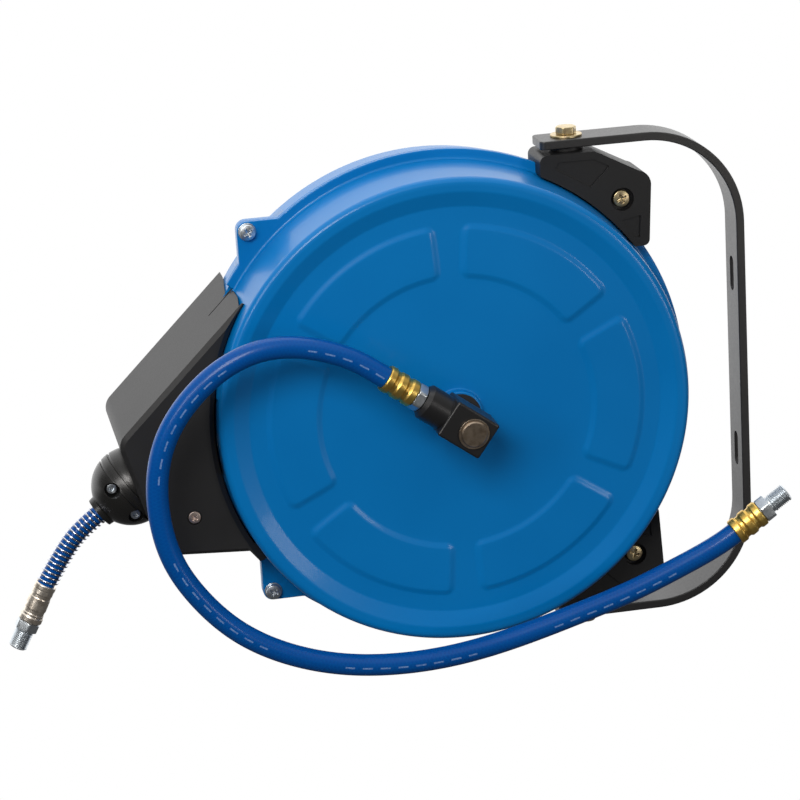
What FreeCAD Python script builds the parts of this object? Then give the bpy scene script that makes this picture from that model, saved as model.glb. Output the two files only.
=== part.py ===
import FreeCAD, Part
import math
import os
import Sketcher

# Spring-retractable compressed-air hose reel on a wall strap.
# Frame: origin at the centre of the strap's wall face, +X into the wall, -Y to the front, +Z up.
# Millimetres. Pieces are drawn in the drum frame, whose Y axis is the drum axis, and placed at
# x = -axis_to_wall. The parting plane of the casing is y = 0.

os.makedirs("parts", exist_ok=True)
Vector = FreeCAD.Vector
doc = FreeCAD.newDocument("HoseReel")
sheet = doc.addObject("Spreadsheet::Sheet", "Dims")

# alias, value, note
DIMENSIONS = [
    ("axis_to_wall", 219.0, "drum axis to the strap's wall face"),
    # casing
    ("flange_rad", 175.0, "outer radius of the parting flange"),
    ("flange_thk", 3.0, "flange thickness of each cover"),
    ("wall_thk", 2.6, "cover wall"),
    ("front_root_rad", 168.0, "front wall radius at the flange"),
    ("front_tip_rad", 164.5, "front wall radius at the shoulder"),
    ("crest_rad", 155.5, "radius of the raised front rim"),
    ("crest_dep", 53.0, "rim height in front of the parting plane"),
    ("shoulder_round", 9.5, "shoulder fillet"),
    ("dish_rad", 144.5, "outer radius of the dished face"),
    ("dish_dep", 49.5, "dished face in front of the parting plane"),
    ("pad_dep", 52.0, "pad face in front of the parting plane"),
    ("pad_outer_rad", 131.0, "sector pads, outer radius"),
    ("pad_inner_rad", 96.3, "sector pads, inner radius"),
    ("pad_gap_outer", 10.9, "half gap between pads at the outer radius"),
    ("pad_gap_inner", 8.4, "half gap between pads at the inner radius"),
    ("boss_rad", 16.5, "bush boss radius"),
    ("boss_dep", 56.0, "bush boss face"),
    ("bush_outer_rad", 13.0, "bush outer radius"),
    ("rear_root_rad", 170.6, "rear wall radius at the flange"),
    ("rear_tip_rad", 169.4, "rear wall radius at the shoulder"),
    ("rear_dep", 46.0, "rear face behind the parting plane"),
    ("rear_dish_dep", 43.5, "dished rear face"),
    ("lug_half", 137.4, "lug corner from the drum axis, both ways"),
    ("lug_pos", 130.4, "lug screw from the drum axis, both ways"),
    ("lug_round", 7.0, "lug corner radius"),
    ("lug_rear_thk", 7.0, "rear cover lug thickness"),
    ("lug_hole_rad", 3.2, "lug screw hole"),
    ("mouth_top", 24.0, "hose opening, upper edge"),
    ("mouth_low", -30.0, "hose opening, lower edge"),
    ("mouth_half", 36.0, "hose opening, half width"),
    # strap
    ("strap_thk", 6.0, "strap thickness"),
    ("strap_wid", 28.0, "strap width"),
    ("strap_arm", 175.05, "outer face of each arm from the middle"),
    ("strap_bend", 70.0, "outer bend radius"),
    ("strap_tip", 75.0, "arm tip from the drum axis"),
    ("pivot_pos", 96.5, "pivot axis from the drum axis"),
    ("pivot_rad", 5.0, "shoulder of the pivot bolt"),
    ("run_gap", 0.08, "radial running clearance"),
    ("slot_pos", 65.0, "wall slots above and below the middle"),
    ("slot_len", 25.0, "wall slot length"),
    ("slot_half", 4.2, "wall slot half width"),
    ("washer_thk", 1.6, "pivot washer"),
    ("block_top", 166.0, "pivot block top face"),
    ("block_half", 18.0, "pivot block half depth"),
    # hose path
    ("hose_ang", 36.0, "outgoing hose below horizontal"),
    ("hose_tan", 97.7, "outgoing hose line, distance from the drum axis"),
    ("hose_rad", 6.0, "outlet hose outer radius"),
    ("hose_bore", 4.0, "outlet hose inner radius"),
    ("ball_pos", 205.9, "ball stop centre along the hose line"),
    ("ball_rad", 27.5, "ball stop radius"),
    ("seat_rad", 28.2, "ball seat radius in the guide"),
    ("guide_bore", 8.5, "hose bore of the guide"),
    # guide
    ("guide_ax", -144.0, "top corner, x"),
    ("guide_az", 89.7, "top corner, z"),
    ("guide_bx", -234.0, "left corner, x"),
    ("guide_bz", 2.5, "left corner, z"),
    ("guide_dx", -209.0, "lower left corner, x"),
    ("guide_dz", -83.0, "lower left corner, z"),
    ("guide_front", 40.0, "guide front face"),
    ("guide_seam", 36.5, "guide lid to housing seam"),
    ("guide_rear", 50.0, "guide rear face"),
    ("guide_wall", 2.5, "guide wall"),
    ("guide_draft", 2.6, "draft of the guide's top face"),
    ("guide_round", 12.0, "rounding of the guide's left corner"),
    ("guide_bevel", 3.0, "bevel round the guide lid"),
    # drum
    ("hub_rad", 60.0, "hub outer radius"),
    ("hub_wall", 3.0, "hub wall"),
    ("drum_rad", 150.0, "drum flange radius"),
    ("drum_front", 38.5, "hub front end"),
    ("drum_rear", 36.5, "hub rear end"),
    ("drum_thk", 2.0, "drum flange thickness"),
    ("shaft_rad", 9.0, "main shaft radius"),
    ("shaft_bore", 5.0, "main shaft bore"),
    ("arbor_rad", 12.0, "spring arbor radius"),
    # swivel
    ("swivel_ang", 143.1, "swivel pipe direction from +X, towards +Z"),
    ("swivel_front", 102.0, "swivel front face"),
    ("swivel_dep", 27.0, "swivel block depth"),
    ("swivel_half", 13.5, "swivel block half width"),
    ("swivel_pipe", 88.5, "height of the inlet axis in front of the parting plane"),
    ("supply_rad", 7.5, "supply hose outer radius"),
    ("supply_bore", 5.0, "supply hose inner radius"),
    ("thread_rad", 6.58, "G 1/4 male thread, major radius"),
]


# ---------------------------------------------------------------- numbers tied to the sheet
class Linked(float):
    """A number that remembers the sheet expression it came from."""

    def __new__(cls, value, expression):
        number = super().__new__(cls, value)
        number.expression = expression
        return number

    def __add__(self, other):
        return combine(float(self) + float(other), "(%s + %s)", self, other)

    def __radd__(self, other):
        return combine(float(other) + float(self), "(%s + %s)", other, self)

    def __sub__(self, other):
        return combine(float(self) - float(other), "(%s - %s)", self, other)

    def __rsub__(self, other):
        return combine(float(other) - float(self), "(%s - %s)", other, self)

    def __mul__(self, other):
        return combine(float(self) * float(other), "(%s * %s)", self, other)

    __rmul__ = __mul__

    def __truediv__(self, other):
        return combine(float(self) / float(other), "(%s / %s)", self, other)

    def __neg__(self):
        return combine(-float(self), "(0 - %s)", self)


def link(value):
    """A plain number becomes a constant expression."""
    if isinstance(value, Linked):
        return value
    return Linked(value, "%.6f" % value if value >= 0 else "(0 - %.6f)" % -value)


def combine(value, pattern, *numbers):
    return Linked(value, pattern % tuple(link(number).expression for number in numbers))


def root(number):
    return combine(math.sqrt(number), "sqrt(%s)", number)


def cosine(degrees):
    return combine(math.cos(math.radians(degrees)), "cos(%s * 1 deg)", degrees)


def sine(degrees):
    return combine(math.sin(math.radians(degrees)), "sin(%s * 1 deg)", degrees)


def bind(target, path, value):
    target.setExpression(path, link(value).expression)


class Dimensions:
    """The sheet's values as linked numbers, by alias."""


dim = Dimensions()
for row, (alias, value, note) in enumerate(DIMENSIONS, 2):
    sheet.set("A%d" % row, alias)
    sheet.set("B%d" % row, repr(value))
    sheet.setAlias("B%d" % row, alias)
    sheet.set("C%d" % row, note)
    setattr(dim, alias, Linked(value, "Dims." + alias))
doc.recompute()


# ---------------------------------------------------------------- sketch figures
# Each returns a function that draws the figure, fully constrained, into a sketch.
def constrain(sketch, kind, *refs, value):
    number = sketch.addConstraint(Sketcher.Constraint(kind, *refs, float(value)))
    bind(sketch, "Constraints[%d]" % number, value)


def fix_point(sketch, geometry, end, x, y):
    constrain(sketch, "DistanceX", -1, 1, geometry, end, value=x)
    constrain(sketch, "DistanceY", -1, 1, geometry, end, value=y)


def arc_between(start, end, rad, side):
    chord = end - start
    across = Vector(-chord.y, chord.x, 0)
    across.normalize()
    rise = math.sqrt(max(rad**2 - (chord.Length / 2)**2, 0.0))
    centre = (start + end) * 0.5 + across * (side * rise)
    full = Part.Circle(centre, Vector(0, 0, 1), rad)
    first, last = full.parameter(start), full.parameter(end)
    if side < 0:
        first, last = last, first
    if last < first:
        last += 2 * math.pi
    return Part.ArcOfCircle(full, first, last)


def outline(points, arcs=None):
    """A closed outline. arcs maps a segment number to (radius, side): side +1 has the centre
    on the left of the travel."""
    arcs = arcs or {}

    def draw(sketch):
        count = len(points)
        first = len(sketch.Geometry)
        ends = []  # start and end vertex of each segment
        for i in range(count):
            start, end = Vector(*points[i], 0), Vector(*points[(i + 1) % count], 0)
            if i in arcs:
                rad, side = float(arcs[i][0]), arcs[i][1]
                segment = arc_between(start, end, rad, side)
                ends.append((1, 2) if side > 0 else (2, 1))
            else:
                segment = Part.LineSegment(start, end)
                ends.append((1, 2))
            sketch.addGeometry(segment, False)
        for i in range(count):
            j = (i + 1) % count
            sketch.addConstraint(Sketcher.Constraint(
                "Coincident", first + i, ends[i][1], first + j, ends[j][0]))
        for i, (x, y) in enumerate(points):
            fix_point(sketch, first + i, ends[i][0], x, y)
        for i, (rad, _) in arcs.items():
            (x0, y0), (x1, y1) = points[i], points[(i + 1) % count]
            if abs(math.hypot(x1 - x0, y1 - y0) - 2 * rad) >= 1e-6:
                constrain(sketch, "Radius", first + i, value=rad)
            # a half circle is fixed by its centre, on the chord
            elif abs(y0 - y1) < 1e-9:
                constrain(sketch, "DistanceY", -1, 1, first + i, 3, value=y0)
            else:
                constrain(sketch, "DistanceX", -1, 1, first + i, 3, value=x0)
    return draw


def disc(x, y, rad):
    def draw(sketch):
        circle = Part.Circle(Vector(x, y, 0), Vector(0, 0, 1), float(rad))
        number = sketch.addGeometry(circle, False)
        fix_point(sketch, number, 3, x, y)
        constrain(sketch, "Radius", number, value=rad)
    return draw


def discs(places, rad):
    return [disc(x, y, rad) for x, y in places]


def axis_line(start, end):
    """A construction line to turn a profile about."""
    def draw(sketch):
        number = sketch.addGeometry(Part.LineSegment(Vector(*start, 0), Vector(*end, 0)), True)
        fix_point(sketch, number, 1, *start)
        fix_point(sketch, number, 2, *end)
    return draw


def hexagon(x, y, flats, turn=0.0):
    rad = link(flats) / math.sqrt(3)
    angles = [math.radians(60 * k + turn) for k in range(6)]
    return outline([(x + rad * math.cos(a), y + rad * math.sin(a)) for a in angles])


def cross(x, y, arm, half):
    corners = [(arm, -half), (arm, half), (half, half), (half, arm), (-half, arm), (-half, half),
               (-arm, half), (-arm, -half), (-half, -half), (-half, -arm), (half, -arm),
               (half, -half)]
    return outline([(x + u, y + v) for u, v in corners])


# ---------------------------------------------------------------- pieces
pieces = []  # objects to export


class Piece:
    """A body with its origin at a point of the drum frame, turned about Y by degrees."""

    def __init__(self, label, at=(0.0, 0.0, 0.0), turn=None):
        self.body = doc.addObject("PartDesign::Body", label)
        self.body.Label = label
        self.body.AllowCompound = True
        origin = (at[0] - dim.axis_to_wall, at[1], at[2])
        rotation = FreeCAD.Rotation(Vector(0, 1, 0), float(turn or 0.0))
        self.body.Placement = FreeCAD.Placement(Vector(*origin), rotation)
        for axis, value in zip("xyz", origin):
            bind(self.body, ".Placement.Base." + axis, value)
        if turn is not None:
            bind(self.body, ".Placement.Rotation.Angle", turn)
        pieces.append(self.body)

    def plane(self, role):
        return [o for o in self.body.Origin.OriginFeatures if o.Role == role][0]

    def sketch(self, plane, *figures, offset=None):
        sketch = self.body.newObject("Sketcher::SketchObject", "Sketch")
        sketch.AttachmentSupport = [(self.plane(plane), "")]
        sketch.MapMode = "FlatFace"
        if offset is not None:
            sketch.AttachmentOffset = FreeCAD.Placement(Vector(0, 0, offset), FreeCAD.Rotation())
            bind(sketch, ".AttachmentOffset.Base.z", offset)
        for draw in figures:
            draw(sketch)
        return sketch

    def add(self, kind, **settings):
        feature = self.body.newObject("PartDesign::" + kind, kind)
        for name, value in settings.items():
            setattr(feature, name, value)
        self.body.Tip = feature
        return feature

    def volume(self):
        doc.recompute()
        return self.body.Shape.Volume

    def sweep(self, kind, sketch, cut, axis=None, length=None):
        """Turns the sketch about one of its axes, or extrudes it by a length."""
        before = self.volume() if cut else None
        feature = self.add(kind, Profile=sketch)
        sketch.Visibility = False
        if axis:
            feature.ReferenceAxis = (sketch, [axis])
            feature.Angle = 360.0
        else:
            feature.Length = float(length)
            bind(feature, "Length", length)
        if cut and not self.volume() < before - 1e-6:
            raise RuntimeError("%s cuts nothing in %s" % (kind, self.body.Label))
        return feature

    def revolve(self, *figures, plane="XY_Plane", axis="V_Axis", cut=False):
        sketch = self.sketch(plane, *figures)
        return self.sweep("Groove" if cut else "Revolution", sketch, cut, axis=axis)

    def extrude(self, plane, offset, length, *figures, cut=False):
        """Pads go along the plane's normal, pockets against it."""
        sketch = self.sketch(plane, *figures, offset=offset)
        return self.sweep("Pocket" if cut else "Pad", sketch, cut, length=length)

    def slab(self, y0, y1, *figures):
        """Adds the figures over y0 < y1. The XZ plane's normal is -Y."""
        return self.extrude("XZ_Plane", -y1, y1 - y0, *figures)

    def carve(self, y0, y1, *figures):
        """Cuts the figures over y0 < y1."""
        return self.extrude("XZ_Plane", -y0, y1 - y0, *figures, cut=True)

    def repeat(self, count, *features):
        """Repeats the features round the Y axis."""
        self.add("PolarPattern", Originals=list(features),
                 Axis=(features[0].Profile[0], ["N_Axis"]), Angle=360.0, Occurrences=count)
        doc.recompute()

    def soften(self, size, picks, kind="Fillet"):
        """Rounds or bevels the tip's edges that picks accepts."""
        doc.recompute()
        tip = self.body.Tip
        names = ["Edge%d" % i for i, edge in enumerate(tip.Shape.Edges, 1) if picks(edge)]
        if not names:
            raise RuntimeError("no edge to soften in " + self.body.Label)
        setting = "Radius" if kind == "Fillet" else "Size"
        feature = self.add(kind, Base=(tip, names), **{setting: float(size)})
        doc.recompute()
        if "Invalid" in feature.State or not feature.Shape.isValid() or feature.Shape.isNull():
            # the kernel can't build it here: the edges stay sharp
            self.body.removeObject(feature)
            doc.removeObject(feature.Name)
            self.body.Tip = tip
            doc.recompute()
            return None
        return feature


def plain_piece(label, shape):
    """A piece made of a plain shape in the drum frame, for swept tubes and wires."""
    piece = doc.addObject("Part::Feature", label)
    piece.Label = label
    piece.Shape = shape
    piece.Placement = FreeCAD.Placement(Vector(-dim.axis_to_wall, 0, 0), FreeCAD.Rotation())
    pieces.append(piece)


def turned(label, profile, at, turn):
    """A piece revolved about its own X axis."""
    piece = Piece(label, at, turn)
    piece.revolve(outline(profile[::-1]), axis="H_Axis")
    return piece


def screw_ring(label, place, count, seat, head, shank, end):
    """Screws along Y on a circle round the drum axis. place is the first one's (x, z), seat the
    y under the head, head its (radius, height), shank a radius and end the y of the tip."""
    piece = Piece(label)
    head_rad, head_len = head
    if end > seat:
        head_span, shank_span = (seat - head_len, seat), (seat - 0.4, end)
    else:
        head_span, shank_span = (seat, seat + head_len), (end, seat + 0.4)
    heads = piece.slab(*head_span, disc(*place, head_rad))
    shanks = piece.slab(*shank_span, disc(*place, shank))
    piece.repeat(count, heads, shanks)


def in_plane(edge, y):
    box = edge.BoundBox
    return abs(box.YMin - y) < 0.01 and abs(box.YMax - y) < 0.01


def unit(x, z):
    direction = Vector(x, 0, z)
    direction.normalize()
    return direction


def heading(direction):
    """The turn about Y that brings +X to the direction, in degrees."""
    return -math.degrees(math.atan2(direction.z, direction.x))


def spline(points, start_dir, end_dir):
    curve = Part.BSplineCurve()
    curve.interpolate(Points=points, InitialTangent=start_dir, FinalTangent=end_dir, Scale=False)
    return curve


def tube(edges, start, direction, outer_rad, inner_rad):
    path = Part.Wire(edges)
    outer, inner = [
        path.makePipeShell([Part.Wire([Part.Circle(start, direction, rad).toShape()])],
                           True, False)
        for rad in (outer_rad, inner_rad)]
    return outer.cut(inner)


# ---------------------------------------------------------------- wall strap
def wall_bracket():
    piece = Piece("wall_bracket")
    bend, arm, wall, tip = dim.strap_bend, dim.strap_arm, dim.axis_to_wall, dim.strap_tip
    thick, half = dim.strap_thk, dim.strap_wid / 2
    inner = bend - thick
    piece.slab(-half, half, outline(
        [(tip, arm), (tip, arm - thick), (wall - bend, arm - thick), (wall - thick, arm - bend),
         (wall - thick, bend - arm), (wall - bend, thick - arm), (tip, thick - arm), (tip, -arm),
         (wall - bend, -arm), (wall, bend - arm), (wall, arm - bend), (wall - bend, arm)],
        {2: (inner, -1), 4: (inner, -1), 8: (bend, 1), 10: (bend, 1)}))
    # pivot holes through both arms
    piece.extrude("XY_Plane", arm + 1, 2 * arm + 2,
                  disc(dim.pivot_pos, 0, dim.pivot_rad + dim.run_gap), cut=True)
    # wall slots through the web
    straight, side = dim.slot_len / 2 - dim.slot_half, dim.slot_half
    slots = []
    for middle in (dim.slot_pos, -dim.slot_pos):
        low, high = middle - straight, middle + straight
        slots.append(outline([(side, low), (side, high), (-side, high), (-side, low)],
                             {1: (side, 1), 3: (side, 1)}))
    piece.extrude("YZ_Plane", wall + 1, thick + 2, *slots, cut=True)

    def tip_corner(edge):
        ends = edge.Vertexes
        return (len(ends) == 2 and all(abs(v.X - tip) < 0.01 for v in ends)
                and abs(ends[0].Y - ends[1].Y) < 0.01 and abs(abs(ends[0].Y) - half) < 0.01)

    def long_edge(edge):
        ends = edge.Vertexes
        return (len(ends) == 2 and all(abs(abs(v.Y) - half) < 0.01 for v in ends)
                and edge.BoundBox.YLength < 0.01 and edge.BoundBox.XMax > tip + 6)

    piece.soften(4.0, tip_corner)
    piece.soften(0.8, long_edge)


# ---------------------------------------------------------------- pivot hardware
NUT_FLATS = 13.0
WASHER_TOP = dim.strap_arm + dim.washer_thk + 0.05


def pivot_pair(label, *spans):
    """Pads about the upper pivot, each (z0, z1, figures), mirrored to the lower one."""
    piece = Piece(label)
    pads = [piece.extrude("XY_Plane", z0, z1 - z0, *figures) for z0, z1, *figures in spans]
    piece.add("Mirrored", Originals=pads, MirrorPlane=(piece.plane("XY_Plane"), [""]))
    doc.recompute()


def pivot_hardware():
    def at_pivot(rad):
        return disc(dim.pivot_pos, 0, rad)

    nut = hexagon(dim.pivot_pos, 0, NUT_FLATS)
    hole = at_pivot(dim.pivot_rad + 0.1)
    pivot_pair("pivot_washers", (dim.strap_arm + 0.05, WASHER_TOP, at_pivot(11.0), hole))
    pivot_pair("pivot_spacers",
               (dim.block_top, dim.strap_arm - dim.strap_thk - 0.05, at_pivot(11.5), hole))
    pivot_pair("pivot_bolts",
               (WASHER_TOP, WASHER_TOP + 5.3, nut),
               (dim.block_top, WASHER_TOP + 0.5, at_pivot(dim.pivot_rad)),
               (152.0, dim.block_top + 0.5, at_pivot(4.0)))
    pivot_pair("pivot_nuts", (152.5, 159.0, nut, at_pivot(4.05)))


# ---------------------------------------------------------------- casing covers
LUG_BASE_RAD = 170.0  # arc that closes each lug inside the flange
FACE_DIR = math.radians(136.56)  # direction in which the flange is cut back
PAWL_X, PAWL_Z = 66.0, -88.0  # pawl pin
PAWL_BOSS_Y = -dim.dish_dep + dim.wall_thk + 1.2  # rear face of the pin's boss
ARBOR_SCREWS = (21.0, 0.0)  # first arbor bolt


def across_face(out, along):
    """A point out from the drum axis in FACE_DIR and along square to it, downwards."""
    return (out * math.cos(FACE_DIR) - along * math.sin(FACE_DIR),
            out * math.sin(FACE_DIR) + along * math.cos(FACE_DIR))


def sector():
    """The pad to the +X side; the gaps' centre lines lie 30 degrees to either side."""
    def corner(rad, gap):
        reach = root(rad * rad - gap * gap)
        return (reach * cosine(30) + gap * sine(30), reach * sine(30) - gap * cosine(30))

    outer_x, outer_z = corner(dim.pad_outer_rad, dim.pad_gap_outer)
    inner_x, inner_z = corner(dim.pad_inner_rad, dim.pad_gap_inner)
    return outline(
        [(inner_x, -inner_z), (outer_x, -outer_z), (outer_x, outer_z), (inner_x, inner_z)],
        {1: (dim.pad_outer_rad, 1), 3: (dim.pad_inner_rad, -1)})


def lug(sign_x, sign_z):
    half, rad, base = dim.lug_half, dim.lug_round, link(LUG_BASE_RAD)
    reach = root(base * base - half * half)
    points = [(reach, half), (half - rad, half), (half, half - rad), (half, reach)]
    side = sign_x * sign_z
    return outline([(x * sign_x, z * sign_z) for x, z in points],
                   {1: (rad, -side), 3: (base, side)})


def cover(label, profile, arcs, pads, lugs, flange, mouth):
    """A cover turned from its profile. The last four are its (y0, y1) spans."""
    piece = Piece(label)
    piece.revolve(outline(profile, arcs))
    piece.repeat(6, piece.slab(*pads, sector()))
    signs = [(sx, sz) for sx in (1, -1) for sz in (1, -1)]
    piece.slab(*lugs, *[lug(sx, sz) for sx, sz in signs])
    piece.carve(lugs[0] - 1, lugs[1] + 1, *discs(
        [(dim.lug_pos * sx, dim.lug_pos * sz) for sx, sz in signs], dim.lug_hole_rad))
    # flange cut back under the top skin of the hose guide
    piece.carve(*flange, outline([across_face(165.3, 32.2), across_face(165.3, 60.0),
                                  across_face(182.0, 60.0), across_face(182.0, 32.2)]))
    # hose opening in the side wall
    y0, y1 = mouth
    low, high = dim.mouth_low, dim.mouth_top
    piece.extrude("YZ_Plane", 0.0, 200.0,
                  outline([(y0, low), (y1, low), (y1, high), (y0, high)]), cut=True)
    return piece


def pad_rim(y):
    return lambda edge: (in_plane(edge, y) and len(edge.Vertexes) == 2
                         and all(90.0 < math.hypot(v.X, v.Z) < 135.0 for v in edge.Vertexes))


def front_cover():
    wall, flange, flange_y = dim.wall_thk, dim.flange_rad, -dim.flange_thk
    root_rad, tip, bend = dim.front_root_rad, dim.front_tip_rad, dim.shoulder_round
    crest, crest_y, dish, dish_y = dim.crest_rad, -dim.crest_dep, dim.dish_rad, -dim.dish_dep
    boss, boss_y, bore = dim.boss_rad, -dim.boss_dep, dim.bush_outer_rad
    piece = cover(
        "front_cover",
        [(flange, 0), (flange, flange_y), (root_rad, flange_y), (tip, crest_y + bend),
         (crest, crest_y), (dish, dish_y), (boss, dish_y), (boss, boss_y), (bore, boss_y),
         (bore, dish_y + wall), (dish + 0.5, dish_y + wall), (crest, crest_y + wall),
         (tip - wall, crest_y + bend), (root_rad - wall, 0)],
        {3: (bend, -1), 11: (bend - wall, 1)},
        pads=(-dim.pad_dep, dish_y + 1.0), lugs=(flange_y, 0.0), flange=(flange_y, 0.0),
        mouth=(-dim.mouth_half, 1.0))
    piece.soften(1.2, pad_rim(-dim.pad_dep))
    piece.soften(1.5, lambda edge: in_plane(edge, boss_y)
                 and abs(edge.BoundBox.XLength - 2 * boss) < 0.1)
    # pawl pin boss on the inside, with a blind hole
    piece.slab(dish_y + wall - 0.5, PAWL_BOSS_Y, disc(PAWL_X, PAWL_Z, 6.0))
    piece.carve(dish_y + 0.8, dish_y + wall + 2.0, disc(PAWL_X, PAWL_Z, 2.0))


def rear_cover():
    wall, flange, flange_y = dim.wall_thk, dim.flange_rad, dim.flange_thk
    root_rad, tip, bend = dim.rear_root_rad, dim.rear_tip_rad, 12.0
    crest, face_y, dish, dish_y = 158.5, dim.rear_dep, 147.5, dim.rear_dish_dep
    bore = dim.arbor_rad + 0.1
    piece = cover(
        "rear_cover",
        [(flange, 0), (flange, flange_y), (root_rad, flange_y), (tip, face_y - bend),
         (crest, face_y), (dish + 4, face_y), (dish, dish_y), (bore, dish_y),
         (bore, dish_y - wall), (dish + 0.5, dish_y - wall), (crest, face_y - wall),
         (tip - wall, face_y - bend), (root_rad - wall, 0)],
        {3: (bend, 1), 10: (bend - wall, -1)},
        pads=(dish_y - 1.0, face_y), lugs=(0.0, dim.lug_rear_thk), flange=(0.0, flange_y),
        mouth=(-1.0, dim.mouth_half))
    piece.soften(1.2, pad_rim(face_y))
    piece.repeat(4, piece.carve(dish_y - wall - 1, dish_y + 1, disc(*ARBOR_SCREWS, 2.7)))


# ---------------------------------------------------------------- pivot blocks
# (x, z) of the upper block, mirrored for the lower one
BLOCK_OUTLINE = [
    (73.0, 155.0), (73.0, 161.0), (78.0, dim.block_top), (112.0, dim.block_top),
    (143.0, 149.5), (151.2, 138.0), (149.0, 100.0), (144.5, 96.0), (136.0, 96.0),
    (100.0, 100.0), (73.0, 130.0)]
BLOCK_PANELS = [
    [(97.0, 160.5), (111.0, 160.5), (122.0, 154.6), (108.0, 141.0), (96.0, 148.5),
     (83.5, 156.0), (86.0, 160.5)],
    [(143.0, 118.0), (142.0, 102.5), (138.0, 102.5), (129.5, 115.5)]]


def pivot_block(label, sign):
    """sign +1: upper block, -1: lower block."""
    piece = Piece(label)
    half = dim.block_half

    def placed(points, arcs=None):
        return outline([(x, z * sign) for x, z in points],
                       {i: (rad, -sign) for i, rad in (arcs or {}).items()})

    piece.slab(-half, half, placed(BLOCK_OUTLINE, {1: 5.0, 4: 10.5, 6: 4.5}))
    # room for the covers: front wall, flange, rear wall
    piece.carve(-half - 1, -3.2, disc(0, 0, 168.4))
    piece.carve(-3.3, 3.3, disc(0, 0, 175.3))
    piece.carve(3.2, half + 1, disc(0, 0, 171.1))
    # slot that holds the lugs
    near, far, rad = 92.0, dim.lug_half + 0.2, dim.lug_round + 0.2
    slot = [(near, far), (far - rad, far), (far, far - rad), (far, near), (near, near)]
    piece.carve(-dim.flange_thk - 0.1, dim.lug_rear_thk + 0.1, placed(slot, {1: rad}))
    # screw hole, counterbore at the front, nut pocket at the back
    screw = (dim.lug_pos, dim.lug_pos * sign)
    piece.carve(-half - 1, half + 1, disc(*screw, 3.2))
    piece.carve(-half - 1, -half + 5, disc(*screw, 8.2))
    piece.carve(half - 5.2, half + 1, hexagon(*screw, 10.2))
    # pivot bolt hole and captive nut pocket
    pivot = dim.pivot_pos
    for z0, z1, figure in ((140.0, 170.0, disc(pivot, 0, 4.1)),
                           (130.0, 159.1, hexagon(pivot, 0, NUT_FLATS + 0.2))):
        piece.extrude("XY_Plane", max(z0 * sign, z1 * sign), z1 - z0, figure, cut=True)
    # shallow panels between ribs on the front face
    for panel in BLOCK_PANELS:
        piece.carve(-half - 1, -half + 1.2, placed(panel))

    def front_rim(edge):
        """Outer edges of the front face, without the counterbore and the panels."""
        box, ends = edge.BoundBox, edge.Vertexes
        return (in_plane(edge, -half)
                and max(math.hypot(v.X, v.Z) for v in ends) > 178
                and not (box.XLength < 17 and box.ZLength > 15 and len(ends) == 1)
                and all(v.X < 73.2 or v.X > 143.5 or abs(v.Z) > 165.5 or abs(v.Z) < 96.1
                        for v in ends))

    piece.soften(1.0, front_rim)


def pivot_blocks():
    pivot_block("pivot_block_top", 1)
    pivot_block("pivot_block_bottom", -1)


# ---------------------------------------------------------------- casing fasteners
LUG_WASHER_THK = 1.2
CASING_HEAD_LEN = 3.6
CASING_SHANK_RAD = 3.0
CASING_NUT_FLATS = 10.0


def lug_spots(x):
    return [(x, dim.lug_pos), (x, -dim.lug_pos)]


def casing_screws(label, x, seat, head_rad, end):
    """Two screws along Y with cross recesses, heads towards the front."""
    piece = Piece(label)
    spots = lug_spots(x)
    face = seat - CASING_HEAD_LEN
    piece.slab(face, seat, *discs(spots, head_rad))
    piece.slab(seat - 0.5, end, *discs(spots, CASING_SHANK_RAD))
    piece.soften(CASING_HEAD_LEN * 0.45, lambda edge: in_plane(edge, face))
    piece.carve(face - 1, face + CASING_HEAD_LEN * 0.6,
                *[cross(*spot, head_rad * 0.55, head_rad * 0.13) for spot in spots])


def casing_nuts(label, x, y0, y1):
    figures = []
    for spot in lug_spots(x):
        figures += [hexagon(*spot, CASING_NUT_FLATS), disc(*spot, CASING_SHANK_RAD + 0.05)]
    Piece(label).slab(y0, y1, *figures)


def casing_fasteners():
    half, thick = dim.block_half, dim.lug_rear_thk
    casing_screws("block_screws", dim.lug_pos, -half + 5.0, 6.0, half - 0.5)
    casing_nuts("block_nuts", dim.lug_pos, half - 5.1, half - 0.1)
    seat = -dim.flange_thk - LUG_WASHER_THK
    washers = []
    for spot in lug_spots(-dim.lug_pos):
        washers += [disc(*spot, 6.2), disc(*spot, 3.1)]
    Piece("lug_washers").slab(seat, -dim.flange_thk, *washers)
    casing_screws("lug_screws", -dim.lug_pos, seat, 5.4, thick + 7.0)
    casing_nuts("lug_nuts", -dim.lug_pos, thick, thick + 5)


# ---------------------------------------------------------------- hose guide
def on_line(along, out=dim.hose_tan):
    """A point (x, z) along the outgoing hose line's direction and out from the drum axis."""
    down, across = sine(dim.hose_ang), cosine(dim.hose_ang)
    return (-(along * across) - out * down, -(along * down) + out * across)


# guide outline (x, z) at the rear face, where the drafted top face stands furthest out
rear_growth = dim.guide_rear * math.tan(math.radians(dim.guide_draft))
GUIDE_OUTLINE = [
    (dim.guide_ax - rear_growth * 0.696, dim.guide_az + rear_growth * 0.718),
    (dim.guide_bx - rear_growth * 0.317, dim.guide_bz + rear_growth * 1.086),
    (dim.guide_dx, dim.guide_dz),
    (-148.3, -87.0), (-142.6, -94.2), (-136.5, -93.5),  # tab at the lower right
    (-120.0, -70.0), (-120.0, 80.0)]
GUIDE_CAVITY = [
    on_line(172.0, dim.hose_tan - 41.0), on_line(196.0, dim.hose_tan - 41.0), (-200.0, -80.2),
    (-148.0, -84.2), (-120.0, -60.0), (-120.0, 60.0), (-139.3, 88.2), (-218.0, 8.6)]
LEFT_CORNER = (dim.guide_bx, dim.guide_bz)
LOWER_CORNER = (dim.guide_dx, dim.guide_dz)
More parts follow.
